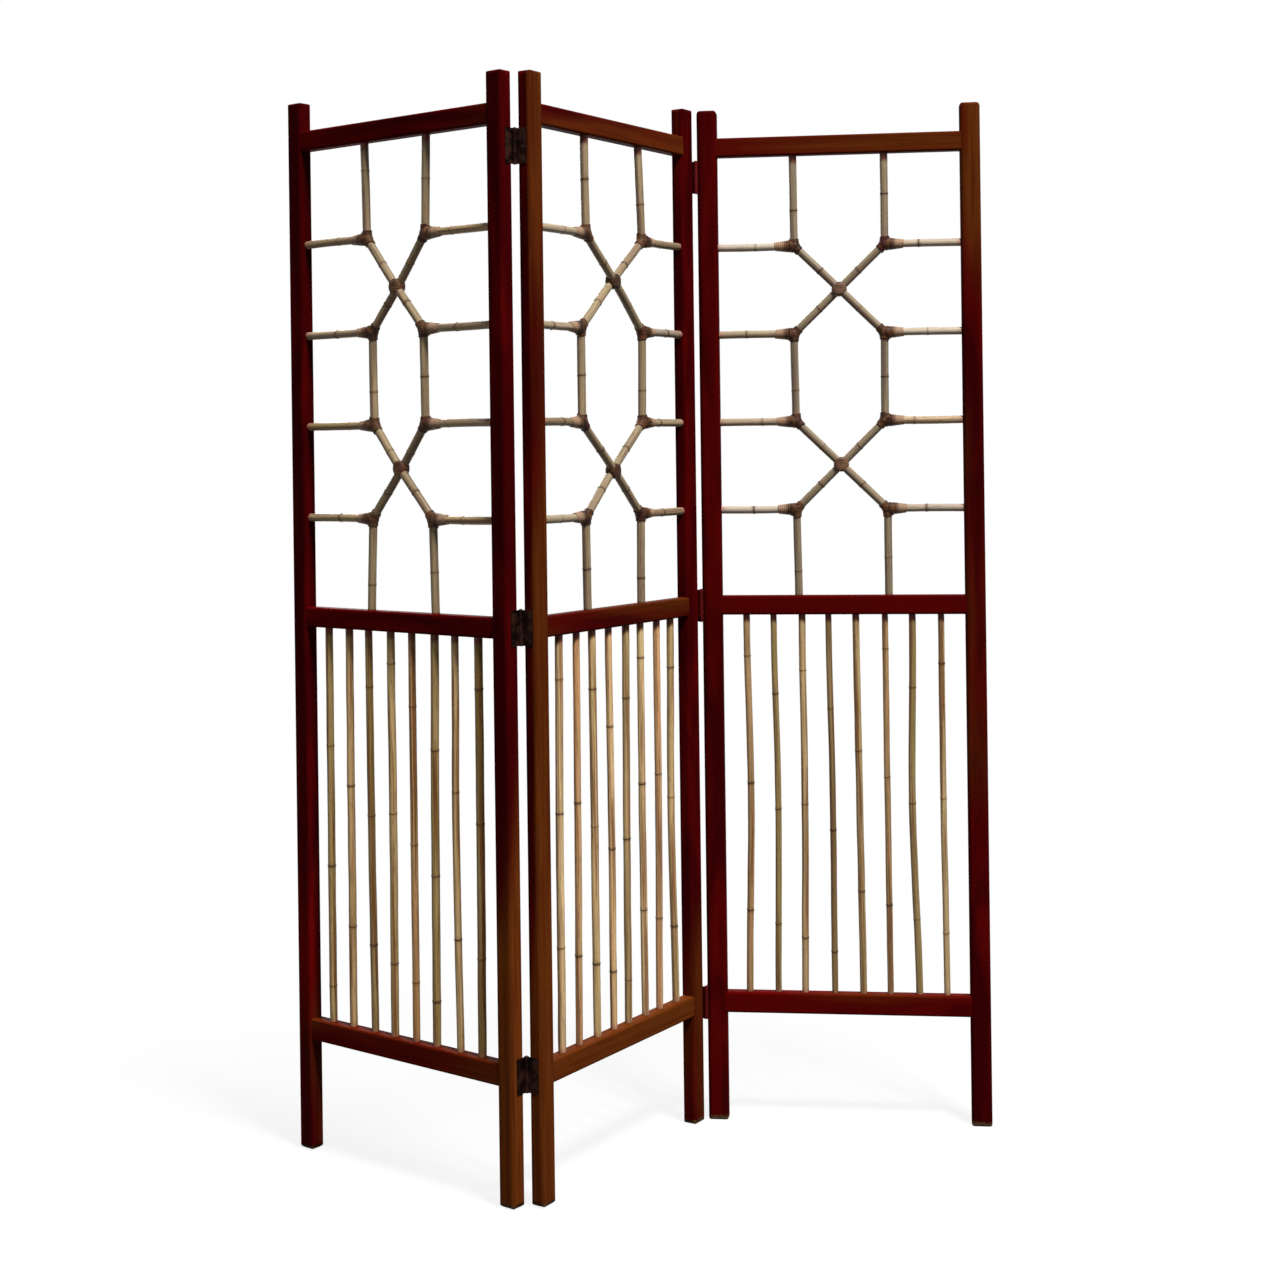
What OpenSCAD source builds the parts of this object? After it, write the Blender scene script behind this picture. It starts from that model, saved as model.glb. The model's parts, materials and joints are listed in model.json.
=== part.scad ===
// Folding screen of three panels: stained wooden frames with a lashed rattan lattice above
// and upright rattan rods below. Millimetres, Z up, the front faces -Y, and the origin is on
// the floor under the middle of the space that the standing screen fills.

/* [Panels] */
// Width of one panel, over its two posts
panel_w = 500; // [440:5:600]
// Height of the posts
screen_h = 1800; // [1700:10:1900]
// Turn of the middle panel, seen from above, away from the line across the front
middle_turn = 57.5; // [40:0.5:70]
// Angle that the left and middle panels close in behind them
left_opening = 84; // [60:0.5:120]
// Angle that the middle and right panels close in before them
right_opening = 115.5; // [80:0.5:140]

/* [Posts] */
// Width of a post, along the panel
post_w = 36; // [32:1:44]
// Depth of a post, through the panel
post_d = 27; // [26:0.5:34]
// Rounding of the four long corners of a post
post_r = 8; // [5:0.5:10]
// Rounding of the posts' top ends
crown_r = 8; // [2:0.5:10]

/* [Rails] */
// Depth of the rails, through the panel
rail_d = 24; // [20:0.5:26]
// Rounding of the rails' long edges
rail_r = 4; // [1:0.5:6]
// Height of the top rail
top_rail_h = 34; // [26:1:44]
// Height of the middle rail
middle_rail_h = 34; // [28:1:44]
// Height of the bottom rail
bottom_rail_h = 37; // [26:1:50]
// How far the posts stand above the top rail
horn_h = 50; // [20:1:90]
// Height of the middle of the middle rail above the floor
middle_rail_z = 917; // [880:1:950]
// Clear height under the bottom rail
leg_h = 191; // [120:1:240]
// Length of a rail's tenon in its post
tenon_len = 18; // [10:1:18]
// Thickness of a tenon
tenon_d = 10; // [6:0.5:12]
// Shoulder left above and below a tenon
tenon_shoulder = 5; // [3:0.5:8]

/* [Rattan] */
// Thickness of the two bent lattice poles
pole_d = 14; // [11:0.5:14.5]
// Thickness of the short lattice arms
arm_d = 13.5; // [10:0.5:13.5]
// Thickness of the upright rods
rod_d = 12.5; // [9:0.5:15]
// Number of upright rods in a panel
rod_count = 8; // [5:1:9]
// Distance from a post to the middle of the rod next to it
rod_margin = 41; // [30:1:60]
// Drop from the top rail to the first row of arms
first_row_drop = 161; // [120:1:180]
// Distance between rows of arms
row_pitch = 156; // [130:1:160]
// How far a growth ring stands out from a cane
ring_swell = 0.9; // [0.3:0.1:1.2]
// Depth to which the canes are let into the wood
cane_seat = 9; // [5:0.5:11]

/* [Bindings] */
// Thickness of the knob wound round the root of an arm
knob_d = 23; // [21:0.5:25]
// Distance from a bend to the middle of its knob
knob_out = 7; // [5:0.5:9]
// Thickness of the winding round the bend itself
bend_wrap_d = 20.4; // [19.6:0.2:21]
// Thickness of the winding along a pole beside a bend
sleeve_d = 17.4; // [16.6:0.2:18.4]
// Length of the winding along a pole, each way from a bend
sleeve_len = 13; // [11:0.5:17]
// Length of the winding along an arm, from the bend
arm_wrap_len = 33; // [26:1:40]
// Thickness of the knob that ties two poles where they cross
crossing_d = 27; // [24:0.5:32]
// Cover of winding before and behind the crossing poles
crossing_cover = 1; // [0.6:0.1:1.4]
// How far each pole stands off the panel's middle plane where it is notched over the other
crossing_push = 2.2; // [1.6:0.2:4]

/* [Hinges] */
// Height of a hinge
hinge_h = 57; // [48:1:70]
// Reach of a hinge leaf from its pin
leaf_reach = 21.5; // [19:0.5:24]
// Thickness of a hinge leaf
leaf_t = 1.5; // [1.2:0.1:1.8]
// Depth to which a leaf is let into its post
leaf_seat = 0.5; // [0.2:0.1:0.8]
// Thickness of a hinge knuckle
knuckle_d = 8; // [7.4:0.1:8.6]
// Thickness of a hinge pin
pin_d = 4.4; // [3.6:0.1:4.8]
// Distance from a post's edge face out to the pin line
pin_out = 1.5; // [1.4:0.1:2]
// Distance from a post's broad face out to the pin line
pin_proud = 2.8; // [2.8:0.1:4]
// Thickness of a screw's shank
screw_d = 3; // [2.6:0.1:3.4]
// Thickness of a screw's head
screw_head_d = 6.2; // [5.4:0.1:6.8]
// Length of a screw
screw_len = 13; // [9:0.5:14]
// Height between the screws of a leaf
screw_pitch = 20; // [14:1:22]
// How far the middle screw of a leaf stands off the line of the other two
screw_stagger = 2.5; // [0:0.5:3]

/* [Hidden] */
PANELS = ["left_panel", "middle_panel", "right_panel"];
PANEL_PARTS = [
    "left_post", "right_post", "top_rail", "middle_rail", "bottom_rail", "left_pole", "right_pole",
    "left_arms", "right_arms", "corner_bindings", "crossing_bindings", "rods"
];
FOLDS = ["left_fold", "right_fold"];
LEVELS = ["top", "middle", "bottom"];
LEAF_PARTS = ["outer_leaf", "inner_leaf", "pin"];

LEFT = -1;
RIGHT = 1;
FRONT = -1;
BACK = 1;

// How far each bend of the hand-bent poles stands from a panel's middle line, one row of values
// for each panel, read down from the top rail: top end, four rows of arms, bottom end
left_column = [[72, 68, 58, 56, 62, 68], [80, 78, 96, 95, 88, 86], [80, 79, 81, 79, 80, 78]];
right_column = [[72, 68, 61, 63, 77, 81], [84, 94, 92, 89, 80, 78], [81, 81, 79, 78, 81, 81]];
// How far the middle of each rod bows sideways, and how far its foot stands to the right of its top
rod_bow = [[0, 0, -1, 1, 0, -1, -4, 1], [-2, 1, 0, 2, -1, -1, 2, -6], [5, 4, 2, 2, 0, 0, -6, -1]];
rod_lean = [[-1, -1, 5, -1, 0, -6, 2, -2], [-5, -6, 2, 2, -6, 2, -5, 4], [-2, 1, -2, 4, 6, 2, 5, 3]];
// Rounding of each panel's left and right foot, rounder where the end is more worn
foot_r = [[15, 13], [13, 9.5], [5, 5]];

// Clearances
joint_gap = 0.2;
lap_gap = 0.3;
cane_gap = 0.4;
wrap_gap = 0.3;
bend_gap = 2.1;
crossing_gap = 0.5;
pin_gap = 0.05;
knuckle_gap = 0.3;
screw_gap = 0.1;

// Fineness of round shapes
round_fn = 48;
small_fn = 32;
pole_sides = 12;
rod_sides = 10;

half_w = panel_w / 2;
post_u = half_w - post_w / 2;
inner_u = half_w - post_w;
top_rail_z = screen_h - horn_h - top_rail_h / 2;
bottom_rail_z = leg_h + bottom_rail_h / 2;
rail_zs = [top_rail_z, middle_rail_z, bottom_rail_z];
rail_hs = [top_rail_h, middle_rail_h, bottom_rail_h];
lattice_top = top_rail_z - top_rail_h / 2;
lattice_bottom = middle_rail_z + middle_rail_h / 2;
rods_top = middle_rail_z - middle_rail_h / 2;
rods_bottom = bottom_rail_z + bottom_rail_h / 2;

// Heights down a lattice pole: top end, four rows, bottom end
row_zs = [
    lattice_top + cane_seat,
    for (row = [0 : 3]) lattice_top - first_row_drop - row * row_pitch,
    lattice_bottom - cane_seat
];

// The top and bottom hinges lie against the rails, the middle one on the middle rail's line
hinge_drop = 7.5;
hinge_zs = [lattice_top - hinge_drop - hinge_h / 2, middle_rail_z, bottom_rail_z];

// Plan of the standing screen: each panel's turn and middle point, worked out along the pin lines
panel_turns = [middle_turn - 180 + left_opening, middle_turn, middle_turn - 180 + right_opening];
pin_u = half_w + pin_out;
pin_v = post_d / 2 + pin_proud;
left_pin = turned([-pin_u, pin_v], middle_turn);
right_pin = turned([pin_u, -pin_v], middle_turn);
panel_places = [
    left_pin - turned([pin_u, pin_v], panel_turns[0]),
    [0, 0],
    right_pin - turned([-pin_u, -pin_v], panel_turns[2])
];
post_places = [for (p = [0 : 2]) for (side = [LEFT, RIGHT])
    panel_places[p] + turned([side * post_u, 0], panel_turns[p])];
reaches = [for (p = [0 : 2]) for (side = [LEFT, RIGHT]) post_reach(panel_turns[p])];
plan_low = [for (axis = [0, 1]) min([for (i = [0 : 5]) post_places[i][axis] - reaches[i][axis]])];
plan_high = [for (axis = [0, 1]) max([for (i = [0 : 5]) post_places[i][axis] + reaches[i][axis]])];
plan_middle = (plan_low + plan_high) / 2;

function turned(point, angle) = [
    point[0] * cos(angle) - point[1] * sin(angle),
    point[0] * sin(angle) + point[1] * cos(angle)
];

// Half the width and depth that a turned post takes up
function post_reach(angle) = [
    (post_w / 2 - post_r) * abs(cos(angle)) + (post_d / 2 - post_r) * abs(sin(angle)) + post_r,
    (post_w / 2 - post_r) * abs(sin(angle)) + (post_d / 2 - post_r) * abs(cos(angle)) + post_r
];

function along(a, b, f) = a + (b - a) * f;

function unit(v) = v / norm(v);

// Distance from a panel's middle line to a rod's top or foot
function rod_place(panel, i, foot) =
    -(inner_u - rod_margin) + i * 2 * (inner_u - rod_margin) / (rod_count - 1)
    + (foot ? 0.5 : -0.5) * rod_lean[panel][i % 8];

// Column in which a pole stands at a row: it changes sides between rows 1 and 2, and 3 and 4
function pole_u(panel, start, row) =
    let (side = (row == 2 || row == 3) ? -start : start)
    side * (side == LEFT ? left_column : right_column)[panel][row];

function pole_point(panel, start, row) = [pole_u(panel, start, row), 0, row_zs[row]];

// Where the two poles cross, below row 1 or row 3
function crossing(panel, row) =
    let (
        above = left_column[panel][row] + right_column[panel][row],
        below = left_column[panel][row + 1] + right_column[panel][row + 1]
    )
    along(pole_point(panel, LEFT, row), pole_point(panel, LEFT, row + 1), above / (above + below));

// Length of pole taken up by a bend, each side of its corner
bend_run = 9;
// Half the length of a growth ring
ring_half = 3;

// Stations of a growth ring at a fraction f of a run: each is a fraction and a radius
function ring_stations(f, run, r) = [
    [f - ring_half / run, r],
    [f, r + ring_swell],
    [f + ring_half / run, r]
];

// Where the growth ring of a pole's upright run lies, different on each run
function upright_ring(panel, start, row) = 0.42 + 0.08 * ((panel * 2 + row + start) % 4);

// Fractions of a slanting run where its bow starts, and where it is full on each side of the crossing
function bow_marks(panel, row, a, run) =
    let (
        lead = (sleeve_len - bend_run + 1) / run,
        middle = norm(crossing(panel, row) - a) / run,
        flat = (crossing_d / 2 + 1) / run
    )
    [lead, middle - flat, middle + flat];

// A slanting run bows forward or back, so that the two poles pass each other
function slant_stations(run, r, marks) = [
    [marks[0], r],
    [0.15, r],
    each ring_stations(0.27, run, r),
    [marks[1], r],
    [marks[2], r],
    each ring_stations(0.74, run, r),
    [0.85, r],
    [1 - marks[0], r]
];

function eased(x) = (1 - cos(180 * max(0, min(1, x)))) / 2;

function bow_share(f, marks) =
    min(eased((f - marks[0]) / (marks[1] - marks[0])), eased((1 - marks[0] - f) / (1 - marks[0] - marks[2])));

// Bend at a corner, as points on a curve that runs from one side to the other
function bend_points(a, corner, b) =
    let (
        start = corner + unit(a - corner) * bend_run,
        end = corner + unit(b - corner) * bend_run
    )
    [for (t = [0, 1/3, 2/3, 1]) along(along(start, corner, t), along(corner, end, t), t)];

// Stations of one lattice pole from its top end to its bottom end: each is a point and a radius
function pole_stations(panel, start) =
    let (
        r = pole_d / 2,
        corners = [for (row = [0 : 5]) pole_point(panel, start, row)],
        bends = [for (row = [1 : 4]) bend_points(corners[row - 1], corners[row], corners[row + 1])]
    )
    [
        [corners[0], r],
        for (row = [0 : 4])
            let (
                a = row == 0 ? corners[0] : bends[row - 1][3],
                b = row == 4 ? corners[5] : bends[row][0],
                run = norm(b - a),
                slants = row == 1 || row == 3,
                marks = slants ? bow_marks(panel, row, a, run) : [0, 0.5, 0.5],
                heading_right = pole_u(panel, start, row + 1) > pole_u(panel, start, row),
                push = slants ? crossing_push * (heading_right ? FRONT : BACK) : 0,
                stations = slants
                    ? slant_stations(run, r, marks)
                    : ring_stations(upright_ring(panel, start, row), run, r)
            )
            each [
                for (s = stations) [along(a, b, s[0]) + [0, push * bow_share(s[0], marks), 0], s[1]],
                if (row < 4) for (point = bends[row]) [point, r]
            ],
        [corners[5], r]
    ];

// Growth rings of a rod start and repeat at lengths that differ from rod to rod
first_ring_low = 70;
first_ring_step = 12;
ring_pitch_low = 205;
ring_pitch_step = 11;
ring_end_clear = 40;

// Heights of the growth rings on a rod, above its foot
function rod_rings(panel, i, run) =
    let (
        first = first_ring_low + ((i * 53 + panel * 31) % 11) * first_ring_step,
        pitch = ring_pitch_low + ((i * 3 + panel) % 5) * ring_pitch_step
    )
    [for (z = [first : pitch : run - ring_end_clear]) z];

function rod_stations(panel, i) =
    let (
        r = rod_d / 2,
        foot = [rod_place(panel, i, true), 0, rods_bottom - cane_seat],
        top = [rod_place(panel, i, false), 0, rods_top + cane_seat],
        run = top[2] - foot[2],
        stations = [
            [0, r],
            for (z = rod_rings(panel, i, run)) each ring_stations(z / run, run, r),
            [1, r]
        ]
    )
    [for (s = stations) [
        along(foot, top, s[0]) + [rod_bow[panel][i % 8] * (1 - cos(360 * s[0])) / 2, 0, 0],
        s[1]
    ]];

// Unbroken solid cane through a list of stations, in a panel's upright plane
module cane(stations, sides) {
    last = len(stations) - 1;
    rings = [
        for (i = [0 : last])
            let (
                tangent = unit(stations[min(i + 1, last)][0] - stations[max(i - 1, 0)][0]),
                deep = unit([0, 1, 0] - tangent * tangent[1]),
                across = cross(deep, tangent)
            )
            for (k = [0 : sides - 1])
                let (a = 360 * (k + 0.5) / sides)
                stations[i][0] + stations[i][1] * (cos(a) * across + sin(a) * deep)
    ];
    start_cap = [for (k = [1 : sides - 2]) [0, k, k + 1]];
    end_cap = [for (k = [1 : sides - 2]) [0, k + 1, k] + last * sides * [1, 1, 1]];
    walls = [
        for (i = [0 : last - 1])
            for (k = [0 : sides - 1])
                let (here = i * sides + k, beside = i * sides + (k + 1) % sides)
                each [[here, here + sides, beside], [beside, here + sides, beside + sides]]
    ];
    polyhedron(points = rings, faces = concat(start_cap, walls, end_cap));
}

// Rectangle with round corners, about the origin
module round_rect(w, d, r) {
    square([w - 2 * r, d], center = true);
    square([w, d - 2 * r], center = true);
    for (x = [-1, 1])
        for (y = [-1, 1])
            translate([x * (w / 2 - r), y * (d / 2 - r)])
                circle(r, $fn = small_fn);
}

// Outline of a post seen from one side, with round corners at the foot and at the top
module elevation(w, foot, crown) {
    // A little wider than the post, so that only the round corners cut it
    half = w / 2 + 0.1;
    translate([-half, foot])
        square([2 * half, screen_h - foot - crown]);
    translate([-(half - foot), 0])
        square([2 * (half - foot), screen_h / 2]);
    translate([-(half - crown), screen_h / 2])
        square([2 * (half - crown), screen_h / 2]);
    for (x = [-1, 1]) {
        translate([x * (half - foot), foot])
            circle(foot, $fn = round_fn);
        translate([x * (half - crown), screen_h - crown])
            circle(crown, $fn = round_fn);
    }
}

// Plain post with its four long corners and both ends rounded
module post_blank(foot) {
    // The rounding is smaller through the panel, as the post is thinner there
    squash = post_d / post_w;
    intersection() {
        linear_extrude(screen_h)
            round_rect(post_w, post_d, post_r);
        rotate([90, 0, 0])
            linear_extrude(2 * post_d, center = true)
                elevation(post_w, foot, crown_r);
        rotate([90, 0, 90])
            linear_extrude(2 * post_w, center = true)
                elevation(post_d, foot * squash, crown_r * squash);
    }
}

// Cylinder that lies along the panel, from a point towards -X or +X
module lying(side, d, len, fn = small_fn) {
    rotate([0, side * 90, 0])
        cylinder(d = d, h = len, $fn = fn);
}

// Puts a hinge, drawn on its pin line with its post towards -X and -Y, on a side of a panel
module on_pin(side, face) {
    translate([side * pin_u, face * pin_v, 0])
        mirror([side == LEFT ? 1 : 0, 0, 0])
            mirror([0, face == FRONT ? 1 : 0, 0])
                children();
}

// Heights and offsets of a leaf's screws about its middle
screw_spots = [[-screw_pitch, 0], [0, 1], [screw_pitch, 0]];

module at_screws() {
    for (spot = screw_spots)
        translate([
            -pin_out - leaf_seat,
            -pin_v + screw_stagger * (spot[1] - 0.5),
            spot[0]
        ])
            rotate([0, -90, 0])
                children();
}

// What a post loses to a hinge leaf: a shallow seat and the screw holes
module leaf_recess() {
    seat_h = hinge_h + 2 * joint_gap;
    translate([-pin_out - leaf_seat, -leaf_reach - joint_gap, -seat_h / 2])
        cube([post_w / 2, leaf_reach + pin_v, seat_h]);
    at_screws()
        cylinder(d = screw_d + 2 * screw_gap, h = screw_len, $fn = small_fn);
}

// Post with its mortises, arm sockets and hinge seats, in its panel's frame
module post(panel, side) {
    hinge_face = panel == 0 || (panel == 1 && side == LEFT) ? BACK : FRONT;
    hinged = !(panel == 0 && side == LEFT) && !(panel == 2 && side == RIGHT);
    color([0.30, 0.07, 0.04])
    difference() {
        translate([side * post_u, 0, 0])
            post_blank(foot_r[panel][side == LEFT ? 0 : 1]);
        for (i = [0 : 2])
            translate([side * (inner_u + tenon_len / 2), 0, rail_zs[i]])
                cube([
                    tenon_len + 2 * joint_gap,
                    tenon_d + 2 * joint_gap,
                    rail_hs[i] - 2 * tenon_shoulder + 2 * joint_gap
                ], center = true);
        for (row = [1 : 4])
            translate([side * (inner_u - 1), 0, row_zs[row]])
                lying(side, arm_d + 2 * cane_gap, cane_seat + 1 + cane_gap);
        if (hinged)
            on_pin(side, hinge_face)
                for (z = hinge_zs)
                    translate([0, 0, z])
                        leaf_recess();
    }
}

// Rail with ends shaped to the posts and a tenon at each end
module rail(z, h) {
    color([0.34, 0.09, 0.04])
    translate([0, 0, z]) {
        difference() {
            rotate([90, 0, 90])
                linear_extrude(2 * post_u, center = true)
                    round_rect(rail_d, h, rail_r);
            for (side = [LEFT, RIGHT])
                translate([side * post_u, 0, -h])
                    linear_extrude(2 * h)
                        round_rect(post_w + 2 * joint_gap, post_d + 2 * joint_gap, post_r + joint_gap);
        }
        cube([2 * (inner_u + tenon_len), tenon_d, h - 2 * tenon_shoulder], center = true);
    }
}

// Holes for the two lattice poles, opening towards +Z or -Z at a rail's face
module pole_sockets(panel, row, z, up) {
    for (start = [LEFT, RIGHT])
        translate([pole_u(panel, start, row), 0, z])
            mirror([0, 0, up ? 1 : 0])
                translate([0, 0, -1])
                    cylinder(d = pole_d + 2 * cane_gap, h = cane_seat + 1 + cane_gap, $fn = small_fn);
}

module rod_sockets(panel, z, foot) {
    for (i = [0 : rod_count - 1])
        translate([rod_place(panel, i, foot), 0, z])
            mirror([0, 0, foot ? 1 : 0])
                translate([0, 0, -1])
                    cylinder(d = rod_d + 2 * cane_gap, h = cane_seat + 1 + cane_gap, $fn = small_fn);
}

module top_rail(panel) {
    difference() {
        rail(top_rail_z, top_rail_h);
        pole_sockets(panel, 0, lattice_top, false);
    }
}

module middle_rail(panel) {
    difference() {
        rail(middle_rail_z, middle_rail_h);
        pole_sockets(panel, 5, lattice_bottom, true);
        rod_sockets(panel, rods_top, false);
    }
}

module bottom_rail(panel) {
    difference() {
        rail(bottom_rail_z, bottom_rail_h);
        rod_sockets(panel, rods_bottom, true);
    }
}

// Space that a crossing pole takes out of the other, down to the panel's middle plane
module lap(panel, row, start) {
    run = pole_point(panel, -start, row + 1) - pole_point(panel, -start, row);
    heading_right = pole_u(panel, start, row + 1) > pole_u(panel, start, row);
    // The pole that heads right passes in front, so its notch opens to the back
    open = heading_right ? BACK : FRONT;
    translate(crossing(panel, row))
        rotate([0, atan2(run[0], run[2]), 0])
            translate([0, open * (pole_d - joint_gap) / 2, 0])
                cube([pole_d + 2 * lap_gap, pole_d, 3 * pole_d], center = true);
}

// Rattan pole bent at the four rows, and notched where it crosses the other
module pole(panel, start) {
    color([0.60, 0.50, 0.34])
    difference() {
        cane(pole_stations(panel, start), pole_sides);
        lap(panel, 1, start);
        lap(panel, 3, start);
    }
}

// Distance from a bend's corner to the end of the arm that butts against it
arm_start = pole_d / 2 + 2;
// The growth ring of an arm stands beyond its winding, at a place that differs from arm to arm
arm_ring_clear = 10;
arm_ring_step = 8;

// Four short arms from a post to the bends of the pole beside it, each with one growth ring
module arms(panel, side) {
    column = side == LEFT ? left_column : right_column;
    color([0.62, 0.52, 0.37])
    for (row = [1 : 4]) {
        start = column[panel][row] + arm_start;
        arm_len = inner_u + cane_seat - start;
        ring_at = arm_wrap_len + arm_ring_clear + ((row * 7 + panel * 5 + side * 2 + 2) % 5) * arm_ring_step;
        translate([side * start, 0, row_zs[row]])
            rotate([0, side * 90, 0]) {
                cylinder(d = arm_d, h = arm_len, $fn = small_fn);
                translate([0, 0, ring_at])
                    rotate_extrude($fn = small_fn)
                        translate([arm_d / 2 + ring_swell - 2, 0])
                            circle(2, $fn = small_fn);
            }
    }
}

// Tube-shaped space or solid along a straight line between two points in the panel's plane
module between(a, b, d1, d2) {
    run = b - a;
    translate(a)
        rotate([0, atan2(run[0], run[2]), 0])
            cylinder(d1 = d1, d2 = d2, h = norm(run), $fn = small_fn);
}

// Winding at one bend: a sleeve along the pole each way, a knob on the root of the arm and a taper
module corner_binding(panel, side, row) {
    corner = [side * (side == LEFT ? left_column : right_column)[panel][row], 0, row_zs[row]];
    // The pole that stands in this column at this row
    start = (row == 2 || row == 3) ? -side : side;
    before = unit(pole_point(panel, start, row - 1) - corner);
    after = unit(pole_point(panel, start, row + 1) - corner);
    outward = [side, 0, 0];
    difference() {
        union() {
            translate(corner)
                sphere(d = bend_wrap_d, $fn = round_fn);
            between(corner, corner + before * sleeve_len, sleeve_d, sleeve_d);
            between(corner, corner + after * sleeve_len, sleeve_d, sleeve_d);
            translate(corner + outward * knob_out)
                sphere(d = knob_d, $fn = round_fn);
            // Starts inside the knob, and comes out of it where the knob rounds off
            between(corner + outward * (knob_out + 3), corner + outward * arm_wrap_len,
                knob_d - 1.4, arm_d + 2);
        }
        translate(corner)
            sphere(d = pole_d + 2 * bend_gap, $fn = round_fn);
        between(corner, corner + before * knob_d, pole_d + 2 * wrap_gap, pole_d + 2 * wrap_gap);
        between(corner, corner + after * knob_d, pole_d + 2 * wrap_gap, pole_d + 2 * wrap_gap);
        between(corner, corner + outward * 2 * arm_wrap_len, arm_d + 2 * wrap_gap, arm_d + 2 * wrap_gap);
    }
}

module corner_bindings(panel) {
    color([0.27, 0.10, 0.07])
    for (side = [LEFT, RIGHT])
        for (row = [1 : 4])
            corner_binding(panel, side, row);
}

// Winding that ties the two poles where they cross, a barrel that lies through the panel
module crossing_binding(panel, row) {
    middle = crossing(panel, row);
    half_len = crossing_push + pole_d / 2 + crossing_gap + crossing_cover;
    rim = 6;
    difference() {
        translate(middle)
            rotate([90, 0, 0])
                rotate_extrude($fn = round_fn) {
                    translate([0, rim - half_len])
                        square([crossing_d / 2, 2 * (half_len - rim)]);
                    translate([0, -half_len])
                        square([crossing_d / 2 - rim, 2 * half_len]);
                    for (end = [FRONT, BACK])
                        translate([crossing_d / 2 - rim, end * (half_len - rim)])
                            circle(rim, $fn = round_fn);
                }
        for (start = [LEFT, RIGHT]) {
            a = pole_point(panel, start, row);
            b = pole_point(panel, start, row + 1);
            push = [0, crossing_push * (b[0] > a[0] ? FRONT : BACK), 0];
            reach = unit(b - a) * crossing_d;
            between(middle - reach + push, middle + reach + push,
                pole_d + 2 * crossing_gap, pole_d + 2 * crossing_gap);
        }
    }
}

module crossing_bindings(panel) {
    color([0.30, 0.12, 0.08])
    for (row = [1, 3])
        crossing_binding(panel, row);
}

// Upright rods between the middle and bottom rails
module rods(panel) {
    color([0.66, 0.56, 0.40])
    for (i = [0 : rod_count - 1])
        cane(rod_stations(panel, i), rod_sides);
}

knuckle_count = 5;
knuckle_h = (hinge_h - (knuckle_count - 1) * knuckle_gap) / knuckle_count;

// Hinge leaf on its pin line: a plate against the post and its share of the knuckles
module leaf(first) {
    plate_x = -pin_out - leaf_seat;
    plate_edge = knuckle_d / 2 + knuckle_gap;
    lap = 2;
    color([0.20, 0.16, 0.12])
    difference() {
        union() {
            translate([plate_x, -leaf_reach, -hinge_h / 2])
                cube([leaf_t, leaf_reach - plate_edge, hinge_h]);
            for (i = [first : 2 : knuckle_count - 1])
                translate([0, 0, i * (knuckle_h + knuckle_gap) - hinge_h / 2]) {
                    cylinder(d = knuckle_d, h = knuckle_h, $fn = round_fn);
                    translate([plate_x, -plate_edge - lap, 0])
                        cube([leaf_t, plate_edge + lap - pin_d / 2 - leaf_t / 4, knuckle_h]);
                }
        }
        translate([0, 0, -hinge_h])
            cylinder(d = pin_d + 2 * pin_gap, h = 2 * hinge_h, $fn = round_fn);
        at_screws()
            translate([0, 0, -leaf_t])
                cylinder(d1 = screw_head_d + 2 * screw_gap, d2 = screw_d + 2 * screw_gap,
                    h = leaf_t, $fn = small_fn);
    }
}

// Hinge pin with a domed head that sits on the top knuckle and a short end below
module hinge_pin() {
    head_h = 1.8;
    tail = 0.6;
    color([0.30, 0.24, 0.17])
    rotate_extrude($fn = round_fn) {
        translate([0, -hinge_h / 2 - tail])
            square([pin_d / 2, hinge_h + tail + head_h / 2]);
        translate([0, hinge_h / 2])
            intersection() {
                translate([0, head_h - knuckle_d / 2])
                    circle(knuckle_d / 2, $fn = round_fn);
                square([knuckle_d / 2 - 0.4, head_h]);
            }
    }
}

// The three countersunk slotted screws of a leaf
module leaf_screws() {
    slot_w = 0.8;
    slot_deep = 0.6;
    head_sink = 0.1;
    tip = 2;
    color([0.34, 0.28, 0.20])
    at_screws()
        difference() {
            rotate_extrude($fn = small_fn)
                polygon([
                    [0, head_sink - leaf_t],
                    [screw_head_d / 2 - head_sink, head_sink - leaf_t],
                    [screw_d / 2, 0],
                    [screw_d / 2, screw_len - leaf_t - tip],
                    [0, screw_len - leaf_t]
                ]);
            translate([-screw_head_d, -slot_w / 2, head_sink - leaf_t - 1])
                cube([2 * screw_head_d, slot_w, 1 + slot_deep]);
        }
}

// Puts a panel's pieces where the standing screen has them
module in_panel(panel) {
    translate([panel_places[panel][0] - plan_middle[0], panel_places[panel][1] - plan_middle[1], 0])
        rotate([0, 0, panel_turns[panel]])
            children();
}

for (p = [0 : 2]) {
    in_panel(p) post(p, LEFT);
    in_panel(p) post(p, RIGHT);
    in_panel(p) top_rail(p);
    in_panel(p) middle_rail(p);
    in_panel(p) bottom_rail(p);
    in_panel(p) pole(p, LEFT);
    in_panel(p) pole(p, RIGHT);
    in_panel(p) arms(p, LEFT);
    in_panel(p) arms(p, RIGHT);
    in_panel(p) corner_bindings(p);
    in_panel(p) crossing_bindings(p);
    in_panel(p) rods(p);
}

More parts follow.
